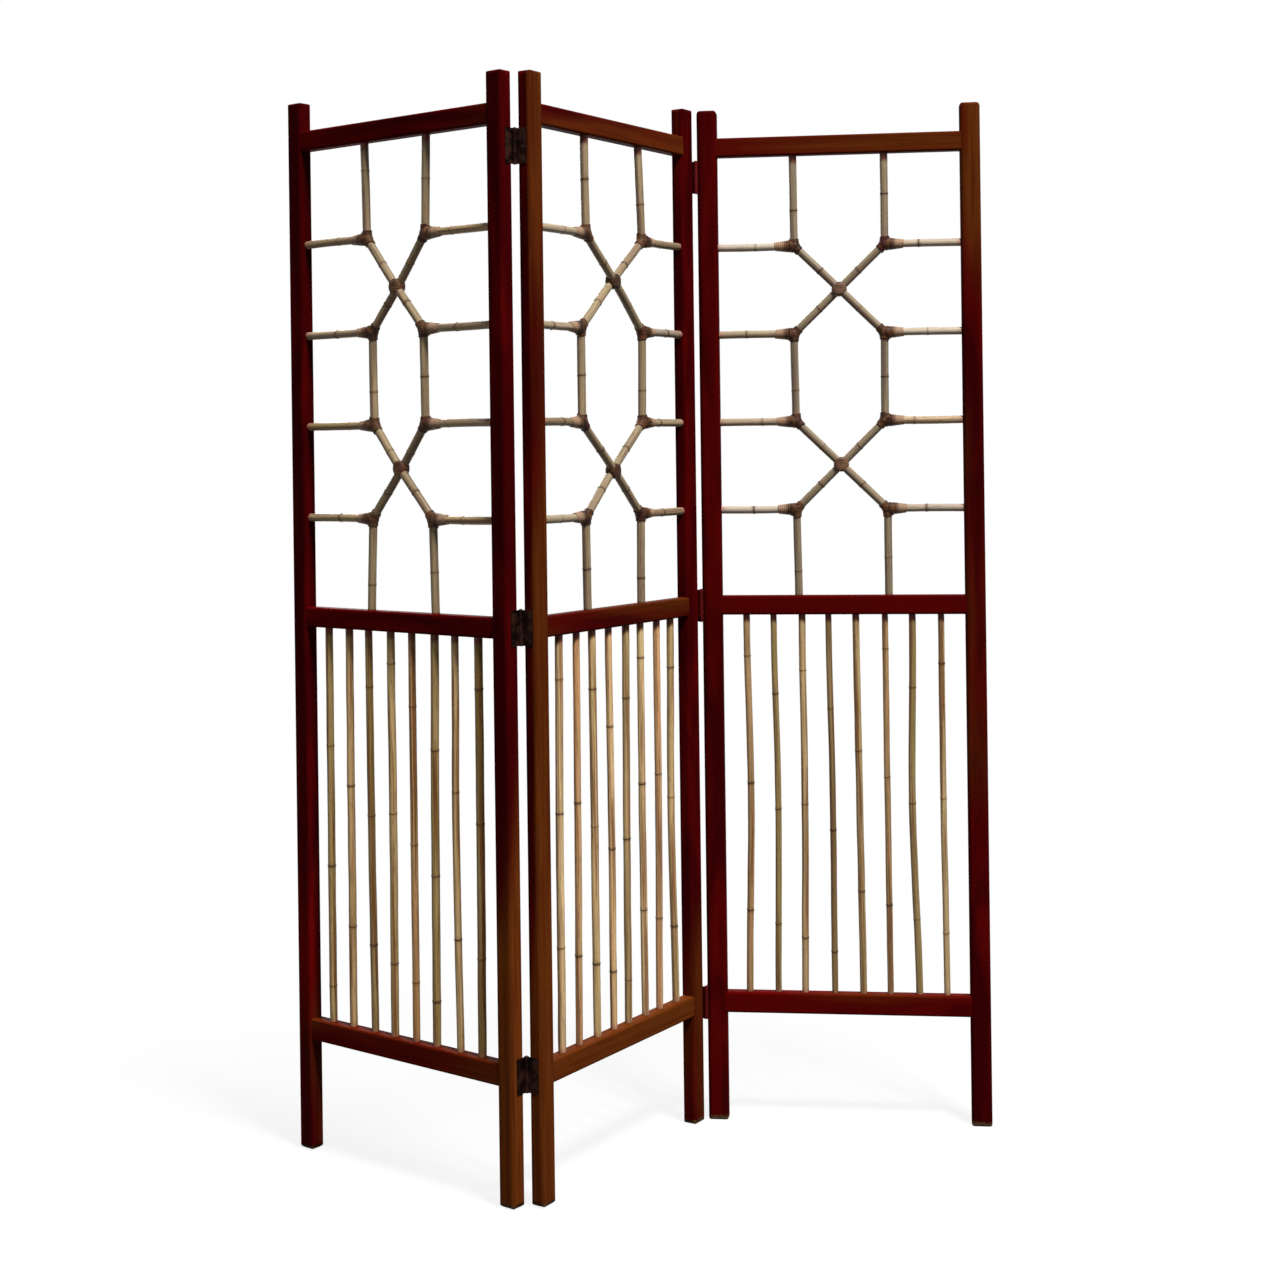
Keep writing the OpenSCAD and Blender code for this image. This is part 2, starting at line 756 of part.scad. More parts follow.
// A fold's outer leaves are on an outer panel, and its inner leaves and pins on the middle one
for (f = [0, 1]) {
    outer_panel = 2 * f;
    face = f == 0 ? BACK : FRONT;
    inner_side = f == 0 ? LEFT : RIGHT;
    for (i = [0 : 2]) {
        name = str(FOLDS[f], "_", LEVELS[i], "_");
        in_panel(outer_panel) on_pin(-inner_side, face) translate([0, 0, hinge_zs[i]]) leaf(1);
        in_panel(1) on_pin(inner_side, face) translate([0, 0, hinge_zs[i]]) leaf(0);
        in_panel(1) on_pin(inner_side, face) translate([0, 0, hinge_zs[i]]) hinge_pin();
    }
    in_panel(outer_panel) on_pin(-inner_side, face) for (z = hinge_zs) translate([0, 0, z]) leaf_screws();
    in_panel(1) on_pin(inner_side, face) for (z = hinge_zs) translate([0, 0, z]) leaf_screws();
}
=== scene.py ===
"""Looks of a folding screen: stained wooden frames, rattan lattice and rods, wound bindings
and bronze hinges, dressed round the packed frame."""

import json
import math

import bmesh
import bpy
import numpy as np
from mathutils import Matrix, Vector, noise


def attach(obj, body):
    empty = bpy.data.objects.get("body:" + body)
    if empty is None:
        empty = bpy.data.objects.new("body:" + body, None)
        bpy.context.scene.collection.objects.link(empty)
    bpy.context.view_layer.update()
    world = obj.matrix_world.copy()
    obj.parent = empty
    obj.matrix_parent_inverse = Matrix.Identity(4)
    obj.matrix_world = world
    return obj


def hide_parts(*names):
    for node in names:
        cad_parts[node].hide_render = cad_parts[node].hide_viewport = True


bl_info = {
    "name": "Folding screen",
    "version": (1, 0, 0),
    "blender": (4, 5, 0),
    "location": "View3D > Sidebar > Screen",
    "description": "Dresses a rattan folding screen with its finishes, canes and bindings",
    "category": "Object",
}

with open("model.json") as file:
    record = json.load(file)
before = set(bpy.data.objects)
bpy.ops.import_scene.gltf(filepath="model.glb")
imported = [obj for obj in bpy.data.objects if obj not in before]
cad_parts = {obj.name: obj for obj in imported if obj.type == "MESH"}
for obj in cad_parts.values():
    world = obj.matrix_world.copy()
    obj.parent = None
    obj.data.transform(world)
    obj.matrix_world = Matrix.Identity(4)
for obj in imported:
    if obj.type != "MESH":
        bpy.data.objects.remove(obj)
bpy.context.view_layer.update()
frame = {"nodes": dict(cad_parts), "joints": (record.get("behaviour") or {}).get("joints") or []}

MM = 0.001
LEFT, RIGHT = -1, 1
FRONT, BACK = -1, 1
PANELS = ("left_panel", "middle_panel", "right_panel")
RAILS = ("top_rail", "middle_rail", "bottom_rail")
SIDES = ((LEFT, "left"), (RIGHT, "right"))
# The way from a panel's front to its back, in its own frame
DEPTH = np.array((0.0, 1.0, 0.0))
# How far each panel is turned about the upright
TURNS = tuple(math.radians(turn) for turn in (-38.5, 57.5, -7.0))

# Lengths from here on are in millimetres, in a panel's own frame
# Place of a fold's pin line
PIN_U, PIN_V = 251.5, 16.3
# Half the clear width between the posts, and how deep the canes go into the wood
INNER_U, CANE_SEAT = 214.0, 9.0

# Heights of a lattice pole's top, of the four rows of arms and of its foot
ROWS = (1725.0, 1555.0, 1399.0, 1243.0, 1087.0, 925.0)
ARM_ROWS = range(1, 5)
# Rows above a crossing, and rows where a pole stands on the side away from its top
CROSSING_ROWS, SWAPPED_ROWS = (1, 3), (2, 3)
# Distance of a pole's bends from the panel's middle line at those heights, for each panel
COLUMNS = {
    LEFT: ((72, 68, 58, 56, 62, 68), (80, 78, 96, 95, 88, 86), (80, 79, 81, 79, 80, 78)),
    RIGHT: ((72, 68, 61, 63, 77, 81), (84, 94, 92, 89, 80, 78), (81, 81, 79, 78, 81, 81)),
}
# Run of pole taken up by a bend, and how far the poles step aside where they cross
BEND_RUN, CROSSING_PUSH = 9.0, 2.2
# Straight pole left beside a bend and beside a crossing
BOW_LEAD, CROSSING_FLAT = 5.0, 14.5
# Distance from a bend to the root of its arm, and the most that an arm sags
ARM_ROOT, ARM_SAG = 9.0, 0.8

RODS = 8
ROD_FOOT, ROD_TOP = 219.0, 909.0
# Distance from a post to the first rod's middle
ROD_MARGIN = 41.0
# Sideways bow of each rod at its middle, and how far its foot stands right of its top
ROD_BOW = ((0, 0, -1, 1, 0, -1, -4, 1), (-2, 1, 0, 2, -1, -1, 2, -6), (5, 4, 2, 2, 0, 0, -6, -1))
ROD_LEAN = ((-1, -1, 5, -1, 0, -6, 2, -2), (-5, -6, 2, 2, -6, 2, -5, 4), (-2, 1, -2, 4, 6, 2, 5, 3))

# Choices for a growth ring's place: least distance, step and number of choices
ARM_RING, ROD_FIRST_RING, ROD_RING_GAP = (43, 8, 5), (70, 12, 11), (205, 11, 5)
# Shares of a run with a crossing at which its rings stand
CROSSED_RUN_RINGS = (0.27, 0.74)
# Least distance from a rod's last ring to its top
TOP_RING_GAP = 40
# Distance between a cane's stations, its stations round a ring and the room kept for those
STATION_GAP = 4.0
RING_STATIONS = np.array((-7, -5, -3.6, -2.4, -1.6, -0.9, -0.4, 0, 0.4, 0.9, 1.6, 2.4, 3.6, 5, 7))
RING_CLEAR = 8
# Half the length of the sharp lip on a ring
LIP_LENGTH = 0.8
# Lengths over which a cane's line and its thickness waver, and how far the thickness does
WAVER_LENGTH, THICKNESS_LENGTH, THICKNESS_SHARE = 95.0, 60.0, 0.03
# Run at a cane's end over which it stops wavering, and reach of the pink at its end
WAVER_EASE, END_STAIN = 30.0, 34.0

# Faces round a strip, and points that each turn of it is drawn with
STRIP_SIDES = 10
COIL_POINTS, KNOT_POINTS, CROSSING_POINTS = 22, 26, 40
# Winding on an arm: start beyond the knob's middle, drop below the knob, and last radius
ARM_COIL_START, ARM_COIL_DROP, ARM_COIL_END = 3.2, 0.7, 7.9
# How far the winding round a bend lies under the knob
BEND_DROP = 1.2
# Lift of a knot's three layers from the knob's skin, turns of each and their spread in depth
KNOT_LIFTS, KNOT_TURNS, KNOT_SPREAD = (0.25, -0.05, -0.35), 4, (0.75, 3.2)
# Layers at a crossing, upright and level turns: way, reach and lift
CROSSING_LAYERS = (((0.0, 0.0, 1.0), 0.45, -0.2), ((1.0, 0.0, 0.0), 0.74, 0.3))
# How square the turns at a crossing are, from a box at 0 to an ellipse at 1
BOXINESS = 0.62
# How far a binding's core is sunk under its turns
CORE_SINK = 0.7

# Tones of the wood in each panel: its redness, how far its front face turns brown (partly thinner
# stain, partly painted light that makes the broad front faces look lit), the share of that which
# reaches the floor, and how far the stain thins low down
WOOD_TONES = {
    "left_post": ((-0.1, 0.0, 0.0, 0.18), (-0.06, 0.2, 0.8, 0.3), (0.03, -0.16, 1.0, -0.1)),
    "right_post": ((-0.16, 0.0, 0.0, 0.18), (-0.04, -0.08, 0.0, 0.2), (0.0, 0.2, 0.3, 0.0)),
    "rails": ((0.02, 0.0, 0.0, 0.24), (0.02, 0.2, 0.0, 0.32), (0.16, 0.05, 0.0, 0.04)),
}
# Level of the wood's tone in each panel
WOOD_LEVEL = (1.35, 1.1, 1.0)
# Hue, level and bleach of the poles in each panel, and the same for the arms and rods
POLE_TONES = ((0.4, 0.6, 0.2), (0.5, 0.5, 0.18), (0.6, 0.34, 0.2))
ARM_LEVEL, ARM_BLEACH = (0.8, 0.5, 0.8), (0.4, 0.5, 1.0)
ROD_LEVEL, ROD_BLEACH = (0.93, 1.28, 0.84), (0.0, 0.12, 0.05)
# The rods of the left panel are the thickest and those of the right the thinnest
ROD_SIZE = (1.05, 1.0, 0.95)
# The frame's stain ran down the tops of the canes, and a little way up their feet; the dark red at
# the tops is partly painted shadow of the rail above
POLE_STAIN_AND_SHADE, ROD_STAIN_AND_SHADE = (("start", 32.0), ("end", 15.0)), (("end", 30.0), ("start", 13.0))
# Level of the crossings' strip in each panel, and how far it is rubbed
CROSSING_TONES = ((1.1, 0.08), (0.75, 0.0), (1.1, 0.22))
# Distances from a bend at which the strip starts to look rubbed and is rubbed all over
RUBBED_FROM, RUBBED_TO = 16.0, 25.0

WHITE, SKY = (1.0, 1.0, 1.0), (0.92, 0.96, 1.0)
# Half the floor's width and the height at which the lamps aim, in metres
FLOOR_EDGE, AIM_HEIGHT = 30.0, 0.95


def tint(red, green, blue):
    """Linear colour of a colour that is written as it looks on a display, from 0 to 255."""
    parts = []
    for level in (red, green, blue):
        level = level / 255
        parts.append(level / 12.92 if level <= 0.04045 else ((level + 0.055) / 1.055) ** 2.4)
    return tuple(parts)


def number_property(name, description, default, **limits):
    return bpy.props.FloatProperty(name=name, description=description, default=default, **limits)


def length_property(name, description, default):
    return number_property(name, description, default, min=0.0, unit="LENGTH", precision=5)


def colour_property(name, description, *levels):
    settings = {"default": tint(*levels), "min": 0.0, "max": 1.0, "subtype": "COLOR", "size": 3}
    return bpy.props.FloatVectorProperty(name=name, description=description, **settings)


class ScreenCanes(bpy.types.PropertyGroup):
    """Sizes of the rattan"""

    pole_width: length_property("Pole", "Thickness of the bent lattice poles", 14 * MM)
    arm_width: length_property("Arm", "Thickness of the short lattice arms", 13.5 * MM)
    rod_width: length_property("Rod", "Thickness of the upright rods", 12.5 * MM)
    ring_swell: length_property("Ring swell", "How far a growth ring stands out", 0.9 * MM)
    ring_length: length_property("Ring length", "Half the length of a growth ring", 2.4 * MM)
    waver: length_property("Waver", "How far a cane strays from its line", 0.5 * MM)
    sides: bpy.props.IntProperty(
        name="Sides", description="Faces round a cane", default=20, min=8, max=48
    )


class ScreenBindings(bpy.types.PropertyGroup):
    """Sizes of the wound bindings"""

    strip_width: length_property("Strip width", "Width of the wound strip", 4.2 * MM)
    strip_thickness: length_property("Strip thickness", "Thickness of the wound strip", 1.3 * MM)
    strip_pitch: length_property("Strip pitch", "Distance between turns", 3.5 * MM)
    knob_width: length_property("Knob", "Thickness of the knob on an arm's root", 23 * MM)
    knob_out: length_property("Knob's place", "Distance from a bend to its knob's middle", 7 * MM)
    bend_width: length_property("Bend", "Thickness of the winding round a bend", 20.4 * MM)
    sleeve_width: length_property("Sleeve", "Thickness of the winding beside a bend", 17.4 * MM)
    sleeve_length: length_property("Sleeve's reach", "Winding along a pole from a bend", 13 * MM)
    arm_reach: length_property("Reach on an arm", "Winding along an arm from a bend", 33 * MM)
    crossing_width: length_property("Crossing", "Width of the winding at a crossing", 27 * MM)
    crossing_depth: length_property("Depth", "Depth of the winding at a crossing", 21.4 * MM)


class ScreenColours(bpy.types.PropertyGroup):
    """Colours of the finishes"""

    stain_deep: colour_property("Stain, deep", "Darkest tone of the wood stain", 54, 2, 4)
    stain_red: colour_property("Stain, red", "Main tone of the wood stain", 84, 5, 4)
    stain_brown: colour_property("Stain, brown", "Where the stain is thin", 92, 44, 13)
    bare_wood: colour_property("Bare wood", "Wood rubbed bare at the feet", 96, 78, 50)
    cane_brown: colour_property("Cane, brown", "Darkest cane", 122, 72, 28)
    cane_red: colour_property("Cane, red", "Reddish cane", 210, 148, 92)
    cane_olive: colour_property("Cane, olive", "Greenish cane", 170, 144, 80)
    cane_light: colour_property("Cane, light", "Lightest cane", 222, 190, 136)
    cane_white: colour_property("Cane, bleached", "Bleached skin of the arms", 200, 185, 168)
    ring_line: colour_property("Growth ring", "Line of a growth ring", 52, 32, 16)
    strip_dark: colour_property("Strip, dark", "Darkest tone of the bindings", 32, 17, 10)
    strip_red: colour_property("Strip, red", "Reddest tone of the bindings", 74, 30, 18)
    strip_light: colour_property("Strip, light", "Lightest tone of the bindings", 120, 78, 46)
    strip_pale: colour_property("Strip, rubbed", "Outer turns of the bindings", 178, 144, 116)
    hinge_stain: colour_property("Hinge stain", "Brown on the left fold's hinges", 44, 18, 8)
    cane_stain: colour_property("Cane stain", "Pinkish ends of the canes", 176, 112, 96)
    bronze_dark: colour_property("Bronze, dark", "Aged metal", 26, 12, 10)
    bronze_light: colour_property("Bronze, rubbed", "Metal rubbed bright", 66, 44, 34)


class ScreenStudio(bpy.types.PropertyGroup):
    """Camera, lamps and floor"""

    lens: number_property("Lens", "Focal length of the camera", 57.46, min=10.0, unit="CAMERA")
    eye_height: length_property("Eye height", "Height of the camera above the floor", 1.2002)
    distance: length_property("Distance", "Camera's distance before the screen's middle", 3.44335)
    aside: number_property("Aside", "Camera's place right of the middle", -0.003, unit="LENGTH")
    roll: number_property("Roll", "Turn of the picture", 0.0128, subtype="ANGLE")
    rise: number_property("Rise", "Vertical shift of the picture", -0.15035)
    key_power: number_property("Key lamp", "Power of the lamp overhead", 580.0, unit="POWER")
    fill_power: number_property("Fill lamp", "Power of the soft front lamp", 9.0, unit="POWER")
    rear_power: number_property("Rear lamp", "Power of the soft lamp behind", 70.0, unit="POWER")
    floor_bounce: number_property("Floor bounce", "Light that the floor throws back", 0.12, min=0.0)
    room_light: number_property("Room light", "Light from all round", 0.045, min=0.0)


# Places


def spin(turn):
    return Matrix.Rotation(turn, 3, "Z")


def fold_pin(name):
    joint = next(j for j in frame["joints"] if j["name"] == name)
    return Vector(joint["pos_m"][:2] + [0.0])


def panel_middle(panel):
    """Middle of a panel on the floor, worked out from the fold that carries it."""
    if panel == 2:
        pin, u, v = fold_pin("right_fold"), -PIN_U, -PIN_V
    else:
        pin, u, v = fold_pin("left_fold"), (PIN_U if panel == 0 else -PIN_U), PIN_V
    return pin - spin(TURNS[panel]) @ Vector((u * MM, v * MM, 0.0))


def turned(panel, directions):
    """Directions of a panel's own frame as directions of the shared frame."""
    return np.asarray(directions, float) @ np.array(spin(TURNS[panel])).T


def placed(panel, points):
    """Points of a panel's own frame, in millimetres, as points of the shared frame."""
    return turned(panel, points) * MM + np.array(panel_middle(panel))


# Lines that the canes follow


def pole_point(panel, start, row):
    """A lattice pole's end or bend; a pole changes sides at each crossing."""
    side = -start if row in SWAPPED_ROWS else start
    return np.array((side * COLUMNS[side][panel][row], 0.0, ROWS[row]))


def unit(vectors):
    """A vector, or vectors one to a row, at length 1."""
    return vectors / np.linalg.norm(vectors, axis=-1, keepdims=True)


def distances(line):
    """How far along a line each of its points is."""
    return np.concatenate([[0.0], np.cumsum(np.linalg.norm(np.diff(line, axis=0), axis=1))])


def points_at(line, marks):
    """Points of a line at given distances along it."""
    steps = distances(line)
    return np.stack([np.interp(marks, steps, line[:, axis]) for axis in range(3)], axis=1)


def chosen(choices, pick):
    """One of some evenly stepped lengths, by a whole number."""
    least, step, count = choices
    return least + pick % count * step


def bend_line(before, corner, after):
    """Round bend at a corner, as a curve between the points where it starts and ends."""
    start = corner + unit(before - corner) * BEND_RUN
    end = corner + unit(after - corner) * BEND_RUN
    t = np.linspace(0.0, 1.0, 9)[:, None]
    return (1 - t) ** 2 * start + 2 * t * (1 - t) * corner + t**2 * end


def crossing_point(panel, row):
    """Where the poles cross below a row."""
    above, below = (COLUMNS[LEFT][panel][n] + COLUMNS[RIGHT][panel][n] for n in (row, row + 1))
    a, b = pole_point(panel, LEFT, row), pole_point(panel, LEFT, row + 1)
    return a + (b - a) * above / (above + below)


def bow_share(f, run, middle):
    """Share of a bow's full push along a run: none beside the bends, full at the crossing."""
    lead, flat = BOW_LEAD / run, CROSSING_FLAT / run
    rise = (f - lead) / (middle - flat - lead)
    fall = (1 - lead - f) / (1 - lead - middle - flat)
    return (1 - np.cos(math.pi * np.clip(np.minimum(rise, fall), 0.0, 1.0))) / 2


def pole_line(panel, start):
    """Line of a lattice pole, and the distances along it of its growth rings."""
    corners = [pole_point(panel, start, row) for row in range(len(ROWS))]
    bends = [bend_line(*corners[row - 1 : row + 2]) for row in ARM_ROWS]
    starts = [corners[0]] + [bend[-1] for bend in bends]
    ends = [bend[0] for bend in bends] + [corners[-1]]
    points, rings, walked = [], [], 0.0
    for row, (a, b) in enumerate(zip(starts, ends)):
        run = np.linalg.norm(b - a)
        f = np.linspace(0.0, 1.0, 33)[:, None]
        line = a + (b - a) * f
        marks = (0.42 + 0.08 * math.fmod(panel * 2 + row + start, 4),)
        if row in CROSSING_ROWS:
            push = CROSSING_PUSH * (FRONT if b[0] > a[0] else BACK)
            middle = np.linalg.norm(crossing_point(panel, row) - a) / run
            line[:, 1:2] += push * bow_share(f, run, middle)
            marks = CROSSED_RUN_RINGS
        rings += [walked + run * mark for mark in marks]
        points += list(line[:-1])
        walked += run
        if row < len(bends):
            points += list(bends[row][:-1])
            walked += distances(bends[row])[-1]
    return np.array(points + [corners[-1]]), rings


def arm_line(panel, side, row):
    """Line of a short arm, from the pole's bend to its post, and its growth ring."""
    start = COLUMNS[side][panel][row] + ARM_ROOT
    length = INNER_U + CANE_SEAT - start
    sag = ARM_SAG * math.sin(row * 2.3 + panel * 1.7 + side)
    f = np.linspace(0.0, 1.0, 25)
    u, height = side * (start + length * f), ROWS[row] + sag * np.sin(math.pi * f)
    ring = chosen(ARM_RING, row * 7 + panel * 5 + side * 2 + 2)
    return np.stack([u, 0.0 * f, height], axis=1), [ring]


def rod_line(panel, index):
    """Line of an upright rod, from its foot to its top, and its growth rings."""
    reach, length = INNER_U - ROD_MARGIN, ROD_TOP - ROD_FOOT
    middle = -reach + index * 2 * reach / (RODS - 1)
    lean, bow = ROD_LEAN[panel][index], ROD_BOW[panel][index]
    f = np.linspace(0.0, 1.0, 97)
    u = middle + lean * (0.5 - f) + bow * (1 - np.cos(2 * math.pi * f)) / 2
    points = np.stack([u, 0.0 * f, ROD_FOOT + length * f], axis=1)
    first = chosen(ROD_FIRST_RING, index * 53 + panel * 31)
    gap = chosen(ROD_RING_GAP, index * 3 + panel)
    return points, list(range(first, int(length - TOP_RING_GAP), gap))


def cane_run(panel, line, rings, width, seed, tone, stained=(), stain_and_shade_ends=()):
    """One cane as stations along its line, with what the sweep and the finish need at each."""
    canes = bpy.context.scene.screen_canes
    length = distances(line)[-1]
    marks = [*np.arange(0.0, length, STATION_GAP), length]
    for ring in rings:
        marks = [m for m in marks if abs(m - ring) > RING_CLEAR] + list(ring + RING_STATIONS)
    marks = np.unique(np.clip(np.array(marks), 0.0, length))
    points = points_at(line, marks)
    waver, swell, ring_length = canes.waver / MM, canes.ring_swell / MM, canes.ring_length / MM
    ease = np.clip(np.minimum(marks, length - marks) / WAVER_EASE, 0.0, 1.0)
    thick, ring_share = [], []
    for i, mark in enumerate(marks):
        place = Vector((mark / WAVER_LENGTH, seed * 31.7, panel * 5.1))
        points[i, 0] += waver * ease[i] * noise.noise(place)
        points[i, 1] += waver * ease[i] * noise.noise(place + Vector((0.0, 9.3, 4.7)))
        # A growth ring has a low swelling with a sharper lip at its middle
        gap, nearest = min((abs(mark - ring), n) for n, ring in enumerate(rings))
        bold = 0.25 + 0.75 * math.fmod(abs(math.sin(nearest * 12.9 + seed * 78.2)) * 43.7, 1.0)
        lip = math.exp(-((gap / LIP_LENGTH) ** 2))
        lip = 0.55 * lip + 0.45 * math.exp(-((gap / ring_length) ** 2))
        place = Vector((mark / THICKNESS_LENGTH, seed * 17.3, 2.0))
        uneven = THICKNESS_SHARE * noise.noise(place)
        thick.append(width / MM / 2 * (1 + uneven) + swell * (0.4 + 0.6 * bold) * lip)
        ring_share.append(bold * math.exp(-((gap / (1.2 + 1.2 * bold)) ** 2)))
    # Share of an end's colour, which fades out along the cane
    ends = {"start": marks, "end": length - marks}
    run = {
        "points": placed(panel, points),
        "thick": np.array(thick) * MM,
        "along": marks * MM,
        "ring": np.array(ring_share),
        "stain": np.max([0 * marks] + [1 - ends[end] / END_STAIN for end in stained], axis=0),
        "stain_and_shade": np.max([0 * marks] + [1 - ends[end] / reach for end, reach in stain_and_shade_ends], axis=0),
    }
    for key, value in zip(("seed", "hue", "level", "bleach"), (seed, *tone)):
        run[key] = np.full(len(marks), value)
    return run


# Nodes


def add(tree, kind, inputs=None, **settings):
    """New node with its settings, and its inputs as values or as sockets to link."""
    made = tree.nodes.new(kind)
    for key, value in settings.items():
        setattr(made, key, value)
    for key, value in (inputs or {}).items():
        if isinstance(value, bpy.types.NodeSocket):
            tree.links.new(value, made.inputs[key])
        else:
            made.inputs[key].default_value = value
    return made


def new_object(name, data):
    made = bpy.data.objects.new(name, data)
    bpy.context.scene.collection.objects.link(made)
    return made


def new_tree(name, sockets):
    """Geometry Nodes tree, what it is given under the names of its inputs, and its lines."""
    tree = bpy.data.node_groups.new(name, "GeometryNodeTree")
    for label, kind in (("Geometry", "Geometry"), *sockets, ("Finish", "Material")):
        tree.interface.new_socket(label, in_out="INPUT", socket_type="NodeSocket" + kind)
    tree.interface.new_socket("Geometry", in_out="OUTPUT", socket_type="NodeSocketGeometry")
    given = add(tree, "NodeGroupInput").outputs
    curve = add(tree, "GeometryNodeMeshToCurve", {"Mesh": given["Geometry"]}).outputs[0]
    return tree, given, curve


def circle(tree, sides, radius):
    inputs = {"Resolution": sides, "Radius": radius}
    return add(tree, "GeometryNodeCurvePrimitiveCircle", inputs).outputs["Curve"]


def stored(tree, name, kind):
    """What the lines of a sweep say under a name."""
    return add(tree, "GeometryNodeInputNamedAttribute", {"Name": name}, data_type=kind).outputs[0]


def finish_sweep(tree, given, curve, profile, **inputs):
    """Sweeps a profile and ends the tree in smooth faces, real geometry and its finish."""
    inputs = {"Curve": curve, "Profile Curve": profile, "Fill Caps": True, **inputs}
    made = add(tree, "GeometryNodeCurveToMesh", inputs)
    for kind in ("GeometryNodeSetShadeSmooth", "GeometryNodeRealizeInstances"):
        made = add(tree, kind, {"Geometry": made.outputs[0]})
    inputs = {"Geometry": made.outputs[0], "Material": given["Finish"]}
    done = add(tree, "GeometryNodeSetMaterial", inputs)
    add(tree, "NodeGroupOutput", {"Geometry": done.outputs[0]})
    return tree


def cane_tree():
    """Sweeps a round section along lines, as thick as the lines say."""
    tree, given, curve = new_tree("Cane sweep", [("Sides", "Int")])
    place = add(tree, "GeometryNodeInputPosition").outputs[0]
    inputs = {"Geometry": circle(tree, given["Sides"], 1.0), "Name": "section", "Value": place}
    section = add(tree, "GeometryNodeStoreNamedAttribute", inputs, data_type="FLOAT_VECTOR")
    thick = stored(tree, "thick", "FLOAT")
    return finish_sweep(tree, given, curve, section.outputs[0], Scale=thick)


def strip_tree():
    """Sweeps a flat strip with round edges along lines, lying on the face that the lines name."""
    tree, given, curve = new_tree("Strip winding", [("Width", "Float"), ("Thickness", "Float")])
    inputs = {"Curve": curve, "Normal": stored(tree, "lie", "FLOAT_VECTOR")}
    laid = add(tree, "GeometryNodeSetCurveNormal", inputs, mode="FREE").outputs[0]
    inputs = {"X": given["Thickness"], "Y": given["Width"], "Z": 1.0}
    flat = add(tree, "ShaderNodeCombineXYZ", inputs).outputs[0]
    inputs = {"Geometry": circle(tree, STRIP_SIDES, 0.5), "Scale": flat}
    section = add(tree, "GeometryNodeTransform", inputs).outputs[0]
    return finish_sweep(tree, given, laid, section)


def store(mesh, name, values):
    """Stores a number or a direction at each point of a mesh."""
    kind, slot = ("FLOAT_VECTOR", "vector") if values.ndim == 2 else ("FLOAT", "value")
    data = mesh.attributes.new(name, kind, "POINT").data
    data.foreach_set(slot, values.astype(np.float32).ravel())


def swept(name, tree, runs, inputs):
    """Plain mesh object made by sweeping a tree's section along the runs."""
    points = np.concatenate([run["points"] for run in runs])
    edges, first = [], 0
    for run in runs:
        last = first + len(run["points"]) - 1
        edges += [(i, i + 1) for i in range(first, last)]
        first = last + 1
    lines = bpy.data.meshes.new(name + "_lines")
    lines.from_pydata(points.tolist(), edges, [])
    for key in runs[0]:
        if key != "points":
            store(lines, key, np.concatenate([run[key] for run in runs]))
    maker = new_object(name + "_lines", lines)
    modifier = maker.modifiers.new("Sweep", "NODES")
    modifier.node_group = tree
    for item in tree.interface.items_tree:
        if item.name in inputs:
            modifier[item.identifier] = inputs[item.name]
    mesh = bpy.data.meshes.new_from_object(
        maker.evaluated_get(bpy.context.evaluated_depsgraph_get())
    )
    maker.modifiers.remove(modifier)
    bpy.data.objects.remove(maker)
    mesh.name = name
    return new_object(name, mesh)


# Materials


def empty_tree(owner):
    """A material's or world's node tree, with nothing in it."""
    owner.use_nodes = True
    owner.node_tree.nodes.clear()
    return owner.node_tree


def new_material(name):
    material = bpy.data.materials.new(name)
    return material, empty_tree(material)


def end_material(tree, *looks):
    """Ends a tree in a shader with its tone, roughness, shine, relief and share of metal."""
    names = ("Base Color", "Roughness", "Specular IOR Level", "Normal", "Metallic")
    shader = add(tree, "ShaderNodeBsdfPrincipled", dict(zip(names, looks)))
    add(tree, "ShaderNodeOutputMaterial", {"Surface": shader.outputs[0]})


def colour(name):
    """A colour of the finishes, as a node takes it."""
    return (*getattr(bpy.context.scene.screen_colours, name), 1.0)


def ramp(tree, factor, stops):
    """Colour ramp from (position, name of a colour) stops."""
    made = add(tree, "ShaderNodeValToRGB", {"Fac": factor})
    elements = made.color_ramp.elements
    while len(elements) < len(stops):
        elements.new(1.0)
    for element, (position, name) in zip(elements, stops):
        element.position = position
        element.color = colour(name)
    return made.outputs["Color"]


def mixed(tree, factor, a, b):
    """A tone between two, each a socket or the name of a colour."""
    a, b = (c if isinstance(c, bpy.types.NodeSocket) else colour(c) for c in (a, b))
    return add(tree, "ShaderNodeMix", {0: factor, 6: a, 7: b}, data_type="RGBA").outputs[2]


def shaded(tree, tone, level):
    """A colour times a level."""
    inputs = {0: tone, "Scale": level}
    return add(tree, "ShaderNodeVectorMath", inputs, operation="SCALE").outputs[0]


def maths(tree, operation, *values):
    return add(tree, "ShaderNodeMath", dict(enumerate(values)), operation=operation).outputs[0]


def fitted(tree, value, low, high, to_low=0.0, to_high=1.0):
    """A value moved from one range to another and held inside it, with soft ends."""
    inputs = dict(enumerate((value, low, high, to_low, to_high)))
    return add(tree, "ShaderNodeMapRange", inputs, interpolation_type="SMOOTHSTEP").outputs[0]


def laid(tree, tone, name, value, low, high, share):
    """A tone with a colour laid over it, up to a share, where a value is high."""
    return mixed(tree, fitted(tree, value, low, high, 0.0, share), tone, name)


def grain(tree, vector, scale, detail=3.0, roughness=0.55, distortion=0.0):
    inputs = {"Vector": vector, "Scale": scale, "Detail": detail, "Roughness": roughness}
    return add(tree, "ShaderNodeTexNoise", {**inputs, "Distortion": distortion}).outputs["Fac"]


def bumped(tree, height, strength, distance):
    inputs = {"Height": height, "Strength": strength, "Distance": distance}
    return add(tree, "ShaderNodeBump", inputs).outputs["Normal"]


def mapped(tree, vector, **inputs):
    return add(tree, "ShaderNodeMapping", {"Vector": vector, **inputs}).outputs[0]


def object_place(tree):
    return add(tree, "ShaderNodeTexCoord").outputs["Object"]


